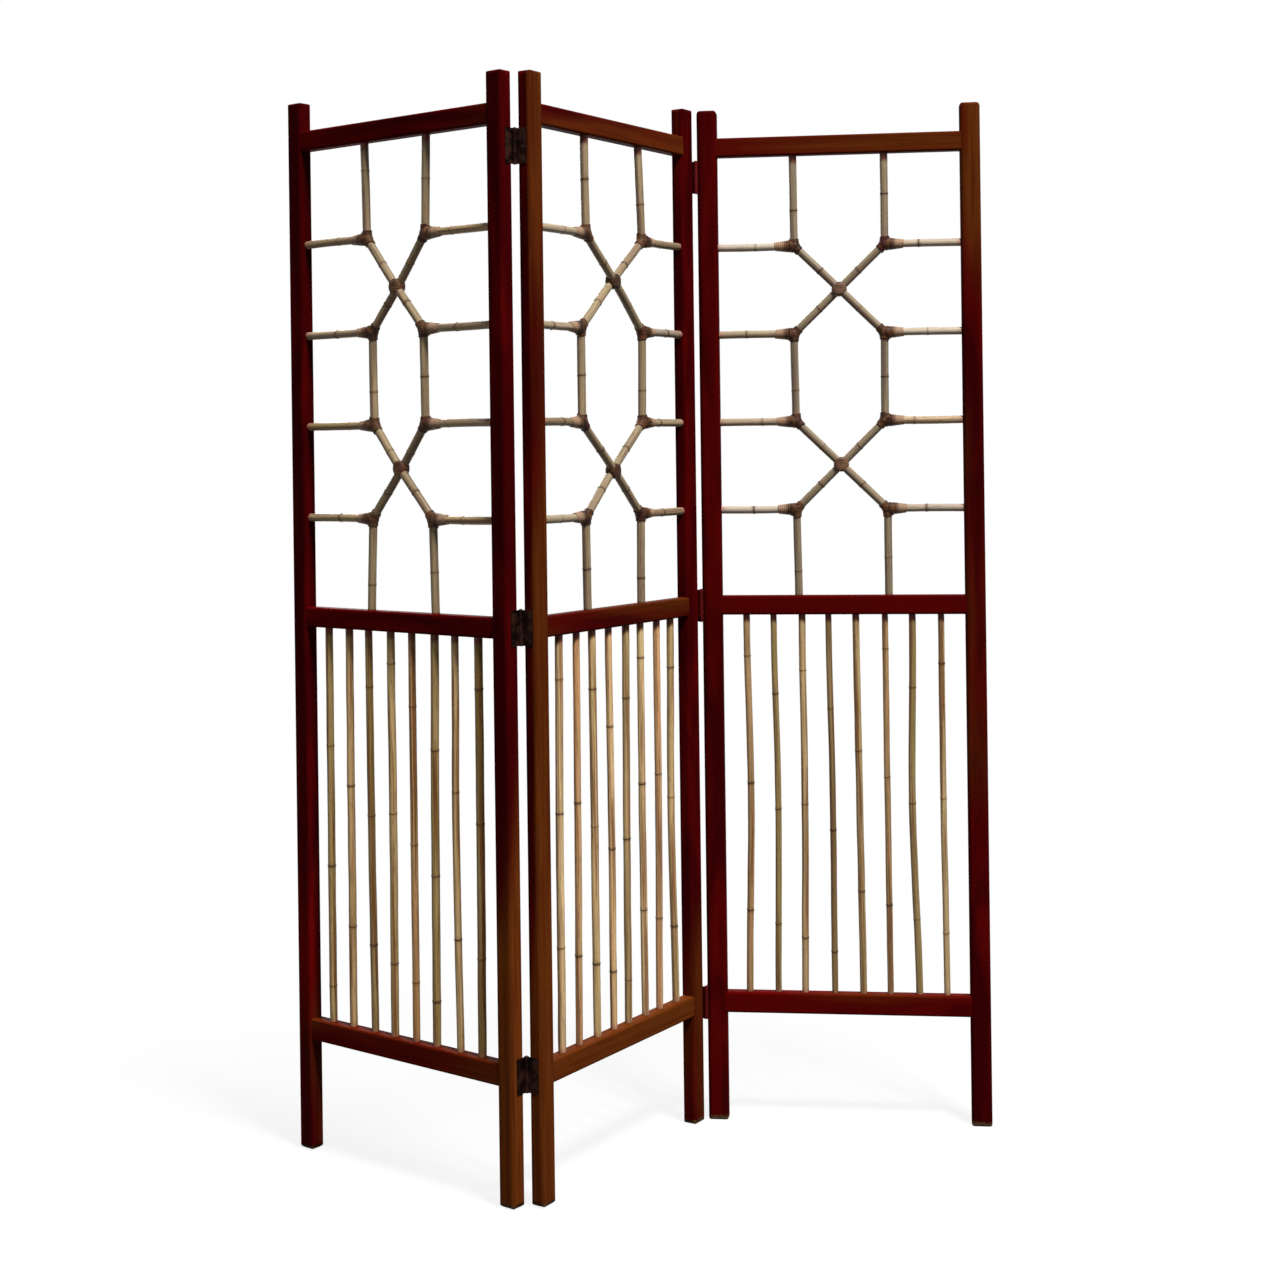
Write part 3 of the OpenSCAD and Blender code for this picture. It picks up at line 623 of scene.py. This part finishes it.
def attribute(tree, name, output="Fac"):
    return add(tree, "ShaderNodeAttribute", attribute_name=name).outputs[output]


def wood_material(name, panel, upright, redness, front_thinning_and_light, lasting, low_fading):
    """Red-brown stain over close-grained wood, thin in patches and worn at the feet."""
    material, tree = new_material(name)
    place = object_place(tree)
    # The panel's own frame, so that the grain runs along each piece
    middle = spin(-TURNS[panel]) @ panel_middle(panel)
    own = mapped(tree, place, Rotation=(0.0, 0.0, -TURNS[panel]), Location=-middle)
    other_wood = (0.0, panel * 0.7, 0.0)
    fibres, bands = (
        mapped(tree, own, Location=other_wood, Scale=(1, 1, long) if upright else (long, 1, 1))
        for long in (0.035, 0.16)
    )
    streak = grain(tree, fibres, 130.0, 4.0, 0.6, 0.4)
    band = grain(tree, bands, 24.0, 3.0, 0.5, 0.8)
    patch = grain(tree, bands, 7.0, 2.0, 0.5)
    pores = grain(tree, fibres, 900.0, 2.0, 0.7)
    height = add(tree, "ShaderNodeSeparateXYZ", {"Vector": place}).outputs["Z"]

    red = fitted(tree, maths(tree, "ADD", band, redness), 0.32, 0.72)
    tone = mixed(tree, red, "stain_deep", "stain_red")
    low_down = fitted(tree, height, 0.55, 0.2, 0.0, low_fading)
    # The front face turns brown where the panel's tone says: partly thinner stain, partly painted
    # light that makes the broad front face look lit
    depth = add(tree, "ShaderNodeSeparateXYZ", {"Vector": own}).outputs["Y"]
    front = fitted(tree, depth, 0.0, -0.009, 0.0, front_thinning_and_light)
    high_up = fitted(tree, height, 1.0, 1.7, lasting, 1.0)
    thinning_and_light = maths(tree, "MULTIPLY_ADD", front, high_up, low_down)
    thin = fitted(tree, maths(tree, "ADD", patch, thinning_and_light), 0.56, 0.74)
    streaked = maths(tree, "MULTIPLY", thin, fitted(tree, streak, 0.3, 0.62, 0.65, 1.0))
    tone = mixed(tree, streaked, tone, "stain_brown")
    # Painted light: the wood's tone is made brighter low down, where less light falls
    full = WOOD_LEVEL[panel]
    level = fitted(tree, height, 1.2, 0.2, full, 1.45 * full)
    level = maths(tree, "MULTIPLY", level, fitted(tree, streak, 0.3, 0.7, 0.86, 1.08))
    tone = shaded(tree, tone, level)
    tone = mixed(tree, fitted(tree, pores, 0.36, 0.46, 0.22, 0.0), tone, "stain_deep")
    # Feet rub bare against the floor
    ragged = maths(tree, "MULTIPLY_ADD", grain(tree, place, 160.0), -0.012, height)
    foot = fitted(tree, ragged, 0.0045, -0.001, 0.0, 0.85)
    tone = mixed(tree, foot, tone, "bare_wood")
    gloss = fitted(tree, maths(tree, "ADD", streak, foot), 0.2, 1.2, 0.36, 0.62)
    relief = maths(tree, "MULTIPLY_ADD", pores, 0.5, streak)
    end_material(tree, tone, gloss, 0.004, bumped(tree, relief, 0.1, 0.0005))
    return material


def cane_material(name):
    """Varnished rattan: each cane has its own tone, fibres along it and a line at each ring."""
    material, tree = new_material(name)
    section = attribute(tree, "section", "Vector")
    section = add(tree, "ShaderNodeSeparateXYZ", {"Vector": section}).outputs
    along, seed, ring = (attribute(tree, key) for key in ("along", "seed", "ring"))
    shifted = maths(tree, "MULTIPLY_ADD", seed, 37.0, maths(tree, "MULTIPLY", along, 6.0))
    inputs = {"X": section["X"], "Y": section["Y"], "Z": shifted}
    skin = add(tree, "ShaderNodeCombineXYZ", inputs).outputs[0]
    mottle = grain(tree, skin, 1.1, 3.0, 0.6, 0.5)
    blotch = grain(tree, skin, 0.45, 1.0, 0.5)
    fibre = grain(tree, mapped(tree, skin, Scale=(9.0, 9.0, 0.9)), 2.2, 3.0, 0.65)
    flank = grain(tree, mapped(tree, skin, Scale=(1.0, 1.0, 0.35)), 1.3, 3.0, 0.6, 0.8)
    specks = grain(tree, skin, 7.0, 1.0, 0.5)

    stops = [(0.0, "cane_brown"), (0.33, "cane_olive"), (0.66, "cane_light"), (1.0, "cane_red")]
    own = ramp(tree, attribute(tree, "hue"), stops)
    tone = laid(tree, own, "cane_light", blotch, 0.42, 0.66, 0.5)
    tone = laid(tree, tone, "cane_olive", mottle, 0.5, 0.72, 0.6)
    tone = laid(tree, tone, "cane_brown", flank, 0.46, 0.62, 0.9)
    tone = laid(tree, tone, "cane_brown", fibre, 0.42, 0.66, 0.35)
    uneven = fitted(tree, mottle, 0.3, 0.7, 1.2, 0.86)
    tone = shaded(tree, tone, maths(tree, "MULTIPLY", attribute(tree, "level"), uneven))
    tone = mixed(tree, attribute(tree, "bleach"), tone, "cane_white")
    tone = laid(tree, tone, "ring_line", specks, 0.66, 0.72, 0.7)
    near = maths(tree, "MULTIPLY", maths(tree, "POWER", ring, 0.35), 0.3)
    tone = mixed(tree, near, tone, "cane_brown")
    tone = mixed(tree, maths(tree, "MULTIPLY", ring, 0.88), tone, "ring_line")
    ragged = maths(tree, "MULTIPLY_ADD", mottle, -0.7, attribute(tree, "stain"))
    tone = laid(tree, tone, "cane_stain", ragged, 0.0, 0.55, 0.8)
    # Dark red at the canes' ends: partly the frame's stain, partly painted shadow under the rails
    ragged = maths(tree, "MULTIPLY_ADD", fibre, -0.3, attribute(tree, "stain_and_shade"))
    tone = laid(tree, tone, "stain_red", ragged, 0.0, 0.3, 0.9)
    relief = maths(tree, "MULTIPLY_ADD", specks, 0.4, fibre)
    gloss = fitted(tree, mottle, 0.3, 0.7, 0.34, 0.5)
    end_material(tree, tone, gloss, 0.2, bumped(tree, relief, 0.22, 0.0005))
    return material


def binding_material(name, level, pale=0.0):
    """Dark wound strip, some turns redder or browner; pale is how far it is rubbed all over."""
    material, tree = new_material(name)
    place = object_place(tree)
    broad = grain(tree, place, 22.0, 2.0, 0.5)
    close = grain(tree, place, 210.0, 3.0, 0.6)
    fine = grain(tree, place, 1500.0, 2.0, 0.6)
    pick = maths(tree, "FRACT", maths(tree, "MULTIPLY", attribute(tree, "seed"), 3.7))
    stops = [(0.0, "strip_dark"), (0.3, "strip_red"), (0.6, "strip_light"), (1.0, "strip_dark")]
    own = ramp(tree, pick, stops)
    tone = laid(tree, own, "strip_dark", broad, 0.38, 0.62, 0.75)
    worn = maths(tree, "MULTIPLY_ADD", close, 0.6, broad)
    tone = shaded(tree, laid(tree, tone, "strip_light", worn, 0.72, 1.0, 0.6), level)
    tone = mixed(tree, pale, tone, "strip_pale")
    # Outer turns are rubbed down to the tone of the cane
    far = attribute(tree, "far")
    tone = laid(tree, tone, "strip_pale", far, RUBBED_FROM, RUBBED_TO, 0.85)
    tone = laid(tree, tone, "strip_dark", fine, 0.5, 0.7, 0.5)
    relief = bumped(tree, maths(tree, "ADD", close, fine), 0.25, 0.0004)
    end_material(tree, tone, fitted(tree, close, 0.3, 0.7, 0.34, 0.55), 0.14, relief)
    return material


def metal_material(name, rubbed, stained, stain):
    """Aged bronze; rubbed is how much bright metal shows, stained how much stain lies over it."""
    material, tree = new_material(name)
    place = object_place(tree)
    cloud = grain(tree, place, 60.0, 4.0, 0.6)
    specks = grain(tree, place, 700.0, 2.0, 0.6)
    scratches = grain(tree, mapped(tree, place, Scale=(1.0, 1.0, 0.06)), 1200.0)
    bright = fitted(tree, maths(tree, "ADD", cloud, rubbed), 0.45, 0.85)
    tone = mixed(tree, bright, "bronze_dark", "bronze_light")
    tone = laid(tree, tone, "bronze_dark", specks, 0.55, 0.7, 0.6)
    # The stain hides the metal
    hidden = fitted(tree, maths(tree, "ADD", cloud, stained), 0.7, 0.95, 0.0, 0.95)
    tone = mixed(tree, hidden, tone, stain)
    relief = bumped(tree, maths(tree, "ADD", specks, scratches), 0.2, 0.0003)
    gloss = fitted(tree, cloud, 0.3, 0.7, 0.38, 0.6)
    end_material(tree, tone, gloss, 0.12, relief, fitted(tree, hidden, 0.0, 1.0, 0.85, 0.0))
    return material


def dress(node, material):
    """Gives a CAD node that stays in view its finish."""
    cad = frame["nodes"][node]
    cad.data.materials.clear()
    cad.data.materials.append(material)


# Windings


def wound(name):
    """A size of the bindings, in millimetres."""
    return getattr(bpy.context.scene.screen_bindings, name) / MM


def winding_run(panel, points, lie, seed):
    """A length of strip as stations, with the way its face looks at each."""
    seeds = np.full(len(points), seed)
    return {"points": placed(panel, points), "lie": turned(panel, lie), "seed": seeds}


def coil(origin, axis, reach, radii, pitch, start_angle):
    """Turns round a straight axis, between two distances from the origin."""
    first, last = reach
    turns = (last - first) / pitch
    t = np.linspace(0.0, 1.0, int(turns * COIL_POINTS) + 2)[:, None]
    angle = start_angle + 2 * math.pi * turns * t
    lie = np.cos(angle) * DEPTH + np.sin(angle) * np.cross(axis, DEPTH)
    radius = radii[0] + (radii[1] - radii[0]) * t
    return origin + axis * (first + (last - first) * t) + lie * radius, lie


def knob_surface(way, outward, lift):
    """Distance from a bend to the skin of its two joined balls, for each direction."""
    radius, out = wound("knob_width") / 2 + lift, wound("knob_out")
    ahead = way @ outward * out
    ball = ahead + np.sqrt(np.maximum(ahead**2 - out**2 + radius**2, 0.0))
    return np.maximum(ball, wound("bend_width") / 2 + lift)


def knot(origin, outward, gap_a, gap_b, lift):
    """Turns round the root of a cane, over the knob in front and back, between two gaps."""
    t = np.linspace(0.0, KNOT_TURNS, KNOT_TURNS * KNOT_POINTS + 1)[:, None]
    phase = t % 1.0
    ahead = phase < 0.5
    s = np.where(ahead, phase * 2, phase * 2 - 1)
    a, b = np.where(ahead, gap_a, gap_b), np.where(ahead, gap_b, gap_a)
    least, most = KNOT_SPREAD
    depth = np.where(ahead, FRONT, BACK) * (least * (most / least) ** (t / KNOT_TURNS))
    lie = (1 - s) * a + s * b
    lie[:, 1:2] += depth * np.sin(math.pi * s)
    lie = unit(lie)
    return origin + lie * knob_surface(lie, outward, lift)[:, None], lie


def sleeve(line, radii, pitch, start_angle):
    """Turns round a bent line, with a radius at its ends and one at its middle."""
    length = distances(line)[-1]
    marks = np.linspace(0.0, length, int(length / pitch * COIL_POINTS) + 2)
    points = points_at(line, marks)
    way = unit(np.gradient(points, axis=0))
    angle = (start_angle + 2 * math.pi * marks / pitch)[:, None]
    lie = np.cos(angle) * DEPTH + np.sin(angle) * np.cross(way, DEPTH)
    share = np.sin(math.pi * marks / length)[:, None] ** 2
    return points + lie * (radii[0] + (radii[1] - radii[0]) * share), lie


def corner_winding(panel, side, row):
    """All turns of the binding at one bend."""
    pitch, sink = wound("strip_pitch"), wound("strip_thickness") / 2
    # The pole that stands in this column at this row
    start = -side if row in SWAPPED_ROWS else side
    above, corner, below = (pole_point(panel, start, row + step) for step in (-1, 0, 1))
    before, after = unit(above - corner), unit(below - corner)
    outward = np.array((float(side), 0.0, 0.0))
    seed = math.fmod(abs(panel * 0.37 + row * 0.211 + side * 0.13), 1.0)
    reach = wound("sleeve_length")
    line = np.concatenate(
        [[corner + before * reach], bend_line(above, corner, below), [corner + after * reach]]
    )
    radii = (wound("sleeve_width") / 2 - sink, wound("bend_width") / 2 - BEND_DROP - sink)
    runs = [winding_run(panel, *sleeve(line, radii, pitch, seed * 6), seed)]
    # Along the arm, from the knob's fattest place down to the bare cane
    reach = (wound("knob_out") + ARM_COIL_START, wound("arm_reach"))
    radii = (wound("knob_width") / 2 - ARM_COIL_DROP - sink, ARM_COIL_END - sink)
    turns = coil(corner, outward, reach, radii, pitch, seed * 9)
    runs.append(winding_run(panel, *turns, seed + 0.15))
    # Gaps between the canes, in order round the bend
    angles = sorted(math.atan2(way[2], way[0]) for way in (before, after, outward))
    gaps = []
    for angle, ahead in zip(angles, angles[1:] + [angles[0] + 2 * math.pi]):
        middle = (angle + ahead) / 2
        gaps.append(np.array((math.cos(middle), 0.0, math.sin(middle))))
    for i, lift in enumerate(KNOT_LIFTS):
        # The cane at i has the gap before it at i - 1 and the gap after it at i
        turns = knot(corner, outward, gaps[i - 1], gaps[i], lift - sink)
        runs.append(winding_run(panel, *turns, seed + 0.1 * i))
    return runs


def signed_power(value, power):
    return np.sign(value) * np.abs(value) ** power


def crossing_winding(panel, row):
    """Two layers of turns round the crossing poles, one level and one upright."""
    pitch, sink = wound("strip_pitch"), wound("strip_thickness") / 2
    half_wide = wound("crossing_width") / 2 - sink
    half_deep = wound("crossing_depth") / 2 - sink
    runs = []
    for n, (way, share, lift) in enumerate(CROSSING_LAYERS):
        way, across = np.array(way), np.array(way[::-1])
        reach = half_wide * share
        turns = 2 * reach / pitch
        t = np.linspace(0.0, 1.0, int(turns * CROSSING_POINTS) + 1)[:, None]
        angle = 2 * math.pi * turns * t + row
        offset = reach * (2 * t - 1)
        wide, deep = np.sqrt(half_wide**2 - offset**2) + lift, half_deep + lift
        c, s = np.cos(angle), np.sin(angle)
        points = crossing_point(panel, row) + across * offset
        points += way * wide * signed_power(c, BOXINESS) + DEPTH * deep * signed_power(s, BOXINESS)
        lie = way / wide * signed_power(c, 2 - BOXINESS) + across * offset * 0.003
        lie += DEPTH / deep * signed_power(s, 2 - BOXINESS)
        runs.append(winding_run(panel, points, unit(lie), 0.2 * row + 0.3 * n))
    return runs


def mark_distance(piece, middles):
    """Stores on a winding how many millimetres each point is from the nearest bend or crossing."""
    mesh = piece.data
    points = np.empty(len(mesh.vertices) * 3, np.float32)
    mesh.vertices.foreach_get("co", points)
    gaps = np.linalg.norm(points.reshape(-1, 1, 3) - middles[None], axis=2).min(axis=1)
    store(mesh, "far", gaps / MM)


def core(node, name, material):
    """Closed body under the turns: a merged copy of the CAD solid, sunk a little."""
    mesh = frame["nodes"][node].data.copy()
    mesh.name = name
    solid = bmesh.new()
    solid.from_mesh(mesh)
    bmesh.ops.remove_doubles(solid, verts=solid.verts, dist=1e-6)
    bmesh.ops.recalc_face_normals(solid, faces=solid.faces)
    solid.normal_update()
    for vertex, normal in [(v, v.normal.copy()) for v in solid.verts]:
        vertex.co -= normal * (CORE_SINK * MM)
    for face in solid.faces:
        face.smooth = True
    solid.to_mesh(mesh)
    solid.free()
    mesh.materials.clear()
    mesh.materials.append(material)
    return new_object(name, mesh)


# Operators


class SCREEN_OT_frames(bpy.types.Operator):
    """Stain the posts and rails"""

    bl_idname = "screen.frames"
    bl_label = "Frames"

    def execute(self, context):
        for panel, name in enumerate(PANELS):
            for part, tones in WOOD_TONES.items():
                upright = part != "rails"
                stain = wood_material(f"{name}_{part}_stain", panel, upright, *tones[panel])
                for piece in (part,) if upright else RAILS:
                    dress(f"{name}_{piece}", stain)
        return {"FINISHED"}


def make_canes(node, ending, body, runs):
    """One piece of swept canes in place of its CAD node."""
    canes = bpy.context.scene.screen_canes
    material = bpy.data.materials.get("varnished_rattan") or cane_material("varnished_rattan")
    tree = bpy.data.node_groups.get("Cane sweep") or cane_tree()
    piece = swept(f"{node}_{ending}", tree, runs, {"Sides": canes.sides, "Finish": material})
    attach(piece, body)
    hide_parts(node)


class SCREEN_OT_poles(bpy.types.Operator):
    """Make the bent lattice poles"""

    bl_idname = "screen.poles"
    bl_label = "Lattice poles"

    def execute(self, context):
        width = context.scene.screen_canes.pole_width
        for panel, name in enumerate(PANELS):
            for side, word in SIDES:
                line, rings = pole_line(panel, side)
                seed = 0.11 + 0.29 * panel + 0.17 * (side == RIGHT)
                tone = POLE_TONES[panel]
                run = cane_run(panel, line, rings, width, seed, tone, stain_and_shade_ends=POLE_STAIN_AND_SHADE)
                make_canes(f"{name}_{word}_pole", "cane", name, [run])
        return {"FINISHED"}


class SCREEN_OT_arms(bpy.types.Operator):
    """Make the short lattice arms"""

    bl_idname = "screen.arms"
    bl_label = "Lattice arms"

    def execute(self, context):
        width = context.scene.screen_canes.arm_width
        for panel, name in enumerate(PANELS):
            for side, word in SIDES:
                runs = []
                for row in ARM_ROWS:
                    line, rings = arm_line(panel, side, row)
                    seed = math.fmod(0.07 + 0.31 * row + 0.19 * panel + 0.43 * (side == RIGHT), 1.0)
                    # Some arms are bleached, others are greenish
                    bleach = max(0.55 + 0.3 * math.sin(row * 2.1 + panel + 2.5 * side), 0.2)
                    tone = (0.3 + 0.5 * seed, ARM_LEVEL[panel], bleach * ARM_BLEACH[panel])
                    runs.append(cane_run(panel, line, rings, width, seed, tone, stained=("end",)))
                make_canes(f"{name}_{word}_arms", "canes", name, runs)
        return {"FINISHED"}


class SCREEN_OT_rods(bpy.types.Operator):
    """Make the upright rods"""

    bl_idname = "screen.rods"
    bl_label = "Rods"

    def execute(self, context):
        width = context.scene.screen_canes.rod_width
        for panel, name in enumerate(PANELS):
            runs = []
            for index in range(RODS):
                line, rings = rod_line(panel, index)
                seed = math.fmod(0.05 + 0.137 * index + 0.29 * panel, 1.0)
                own = width * ROD_SIZE[panel] * (1 + 0.06 * math.sin(index * 2.9 + panel * 1.3))
                hue = 0.2 + 0.8 * math.fmod(0.3 + 0.39 * index + 0.27 * panel, 1.0)
                level = ROD_LEVEL[panel] * (1 + 0.12 * math.sin(index * 2.4 + panel * 1.9))
                tone = (hue, level, ROD_BLEACH[panel])
                runs.append(cane_run(panel, line, rings, own, seed, tone, ("start",), ROD_STAIN_AND_SHADE))
            make_canes(f"{name}_rods", "canes", name, runs)
        return {"FINISHED"}


class SCREEN_OT_bindings(bpy.types.Operator):
    """Wind the strips that tie the bends and the crossings"""

    bl_idname = "screen.bindings"
    bl_label = "Bindings"

    def execute(self, context):
        bindings = context.scene.screen_bindings
        tree = strip_tree()
        inputs = {"Width": bindings.strip_width, "Thickness": bindings.strip_thickness}
        corner_strip = binding_material("wound_strip", 0.9)
        bends = [(side, row) for side in (LEFT, RIGHT) for row in ARM_ROWS]
        crossings = [(row,) for row in CROSSING_ROWS]
        for panel, name in enumerate(PANELS):
            crossing_strip = binding_material(f"{name}_crossing_strip", *CROSSING_TONES[panel])
            for kind, spots, wind, point, material in (
                ("corner", bends, corner_winding, pole_point, corner_strip),
                ("crossing", crossings, crossing_winding, crossing_point, crossing_strip),
            ):
                node = f"{name}_{kind}_bindings"
                runs = [run for spot in spots for run in wind(panel, *spot)]
                turns = swept(f"{node}_turns", tree, runs, {**inputs, "Finish": material})
                middles = placed(panel, [point(panel, *spot) for spot in spots])
                for piece in (turns, core(node, f"{node}_core", material)):
                    mark_distance(piece, middles)
                    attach(piece, name)
                    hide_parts(node)
        return {"FINISHED"}


class SCREEN_OT_hinges(bpy.types.Operator):
    """Finish the hinges and their screws"""

    bl_idname = "screen.hinges"
    bl_label = "Hinges"

    def execute(self, context):
        # The frame's stain went over the right fold's hinges, and thinly over those of the left
        stains = (("left_fold", 0.3, "hinge_stain"), ("right_fold", 0.5, "stain_red"))
        for fold, stained, stain in stains:
            leaf = metal_material(f"{fold}_aged_bronze", 0.0, stained, stain)
            pin = metal_material(f"{fold}_rubbed_bronze", 0.12, stained - 0.1, stain)
            screw = metal_material(f"{fold}_worn_brass", 0.2, stained - 0.1, stain)
            for level in ("top", "middle", "bottom"):
                dress(f"{fold}_{level}_pin", pin)
                for side in ("outer", "inner"):
                    dress(f"{fold}_{level}_{side}_leaf", leaf)
            for side in ("outer", "inner"):
                dress(f"{fold}_{side}_screws", screw)
        return {"FINISHED"}


def by_share(tree, share, first, second):
    """Shader that goes from the first to the second with a share."""
    return add(tree, "ShaderNodeMixShader", {0: share, 1: first, 2: second}).outputs[0]


def plain_shader(tree, kind, colour, **inputs):
    return add(tree, "ShaderNode" + kind, {"Color": (*colour, 1.0), **inputs}).outputs[0]


def background_share(tree):
    """1 for what the camera, a mirror or a glass sees, and 0 for what lights the screen."""
    rays = add(tree, "ShaderNodeLightPath").outputs
    seen = maths(tree, "MAXIMUM", rays["Is Camera Ray"], rays["Is Glossy Ray"])
    return maths(tree, "MAXIMUM", seen, rays["Is Transmission Ray"])


def make_world(studio):
    """Dim light from all round, before a white background."""
    world = bpy.data.worlds.new("Studio")
    bpy.context.scene.world = world
    tree = empty_tree(world)
    light = plain_shader(tree, "Background", SKY, Strength=studio.room_light)
    white = plain_shader(tree, "Background", WHITE, Strength=1.0)
    both = by_share(tree, background_share(tree), light, white)
    add(tree, "ShaderNodeOutputWorld", {"Surface": both})


def floor_material(studio):
    """Matt floor that runs into the white background away from the screen."""
    material, tree = new_material("pale_floor")
    matt, dull = (
        plain_shader(tree, "BsdfDiffuse", (grey, grey, grey), Roughness=1.0)
        for grey in (0.9, studio.floor_bounce)
    )
    glow = plain_shader(tree, "Emission", WHITE, Strength=1.0)
    place = object_place(tree)
    away = add(tree, "ShaderNodeVectorMath", {0: place}, operation="LENGTH").outputs["Value"]
    shown = by_share(tree, fitted(tree, away, 0.5, 1.5, 0.88, 1.0), matt, glow)
    surface = by_share(tree, background_share(tree), dull, shown)
    add(tree, "ShaderNodeOutputMaterial", {"Surface": surface})
    return material


def area_lamp(name, place, size, power):
    data = bpy.data.lights.new(name, "AREA")
    data.size = size
    data.energy = power
    lamp = new_object(name, data)
    lamp.location = place
    way = Vector((0.0, 0.0, AIM_HEIGHT)) - Vector(place)
    lamp.rotation_euler = way.to_track_quat("-Z", "Y").to_euler()


class SCREEN_OT_studio(bpy.types.Operator):
    """Set up the floor, the lamps and the camera"""

    bl_idname = "screen.studio"
    bl_label = "Studio"

    def execute(self, context):
        studio = context.scene.screen_studio
        make_world(studio)

        mesh = bpy.data.meshes.new("floor")
        corners = ((-1, -1), (1, -1), (1, 1), (-1, 1))
        corners = [(x * FLOOR_EDGE, y * FLOOR_EDGE, 0.0) for x, y in corners]
        mesh.from_pydata(corners, [], [range(4)])
        mesh.materials.append(floor_material(studio))
        new_object("floor", mesh)

        area_lamp("key", (1.9, -2.7, 6.5), 1.3, studio.key_power)
        area_lamp("fill", (-1.7, -3.6, 2.0), 1.8, studio.fill_power)
        area_lamp("rear", (-1.4, 3.6, 2.6), 1.6, studio.rear_power)

        data = bpy.data.cameras.new("camera")
        data.lens = studio.lens
        data.shift_y = studio.rise
        data.clip_end = 200.0
        camera = new_object("camera", data)
        camera.location = (studio.aside, -studio.distance, studio.eye_height)
        camera.rotation_euler = (math.pi / 2, studio.roll, 0.0)
        context.scene.camera = camera
        context.scene.view_settings.view_transform = "Standard"
        return {"FINISHED"}


OPERATORS = (
    SCREEN_OT_frames,
    SCREEN_OT_poles,
    SCREEN_OT_arms,
    SCREEN_OT_rods,
    SCREEN_OT_bindings,
    SCREEN_OT_hinges,
    SCREEN_OT_studio,
)
GROUPS = {
    "screen_canes": ScreenCanes,
    "screen_bindings": ScreenBindings,
    "screen_colours": ScreenColours,
    "screen_studio": ScreenStudio,
}


class SCREEN_PT_panel(bpy.types.Panel):
    """Buttons and sizes of the folding screen"""

    bl_idname = "SCREEN_PT_panel"
    bl_label = "Folding screen"
    bl_space_type = "VIEW_3D"
    bl_region_type = "UI"
    bl_category = "Screen"

    def draw(self, context):
        for operator in OPERATORS:
            self.layout.operator(operator.bl_idname)
        for name, group in GROUPS.items():
            box = self.layout.box()
            box.label(text=group.__doc__)
            for key in group.__annotations__:
                box.prop(getattr(context.scene, name), key)


CLASSES = (*GROUPS.values(), *OPERATORS, SCREEN_PT_panel)


def register():
    for kind in CLASSES:
        bpy.utils.register_class(kind)
    for name, group in GROUPS.items():
        setattr(bpy.types.Scene, name, bpy.props.PointerProperty(type=group))


def unregister():
    for name in GROUPS:
        delattr(bpy.types.Scene, name)
    for kind in reversed(CLASSES):
        bpy.utils.unregister_class(kind)


def main():
    register()
    bpy.ops.screen.frames()
    bpy.ops.screen.poles()
    bpy.ops.screen.arms()
    bpy.ops.screen.rods()
    bpy.ops.screen.bindings()
    bpy.ops.screen.hinges()
    bpy.ops.screen.studio()


if __name__ == "__main__":
    main()
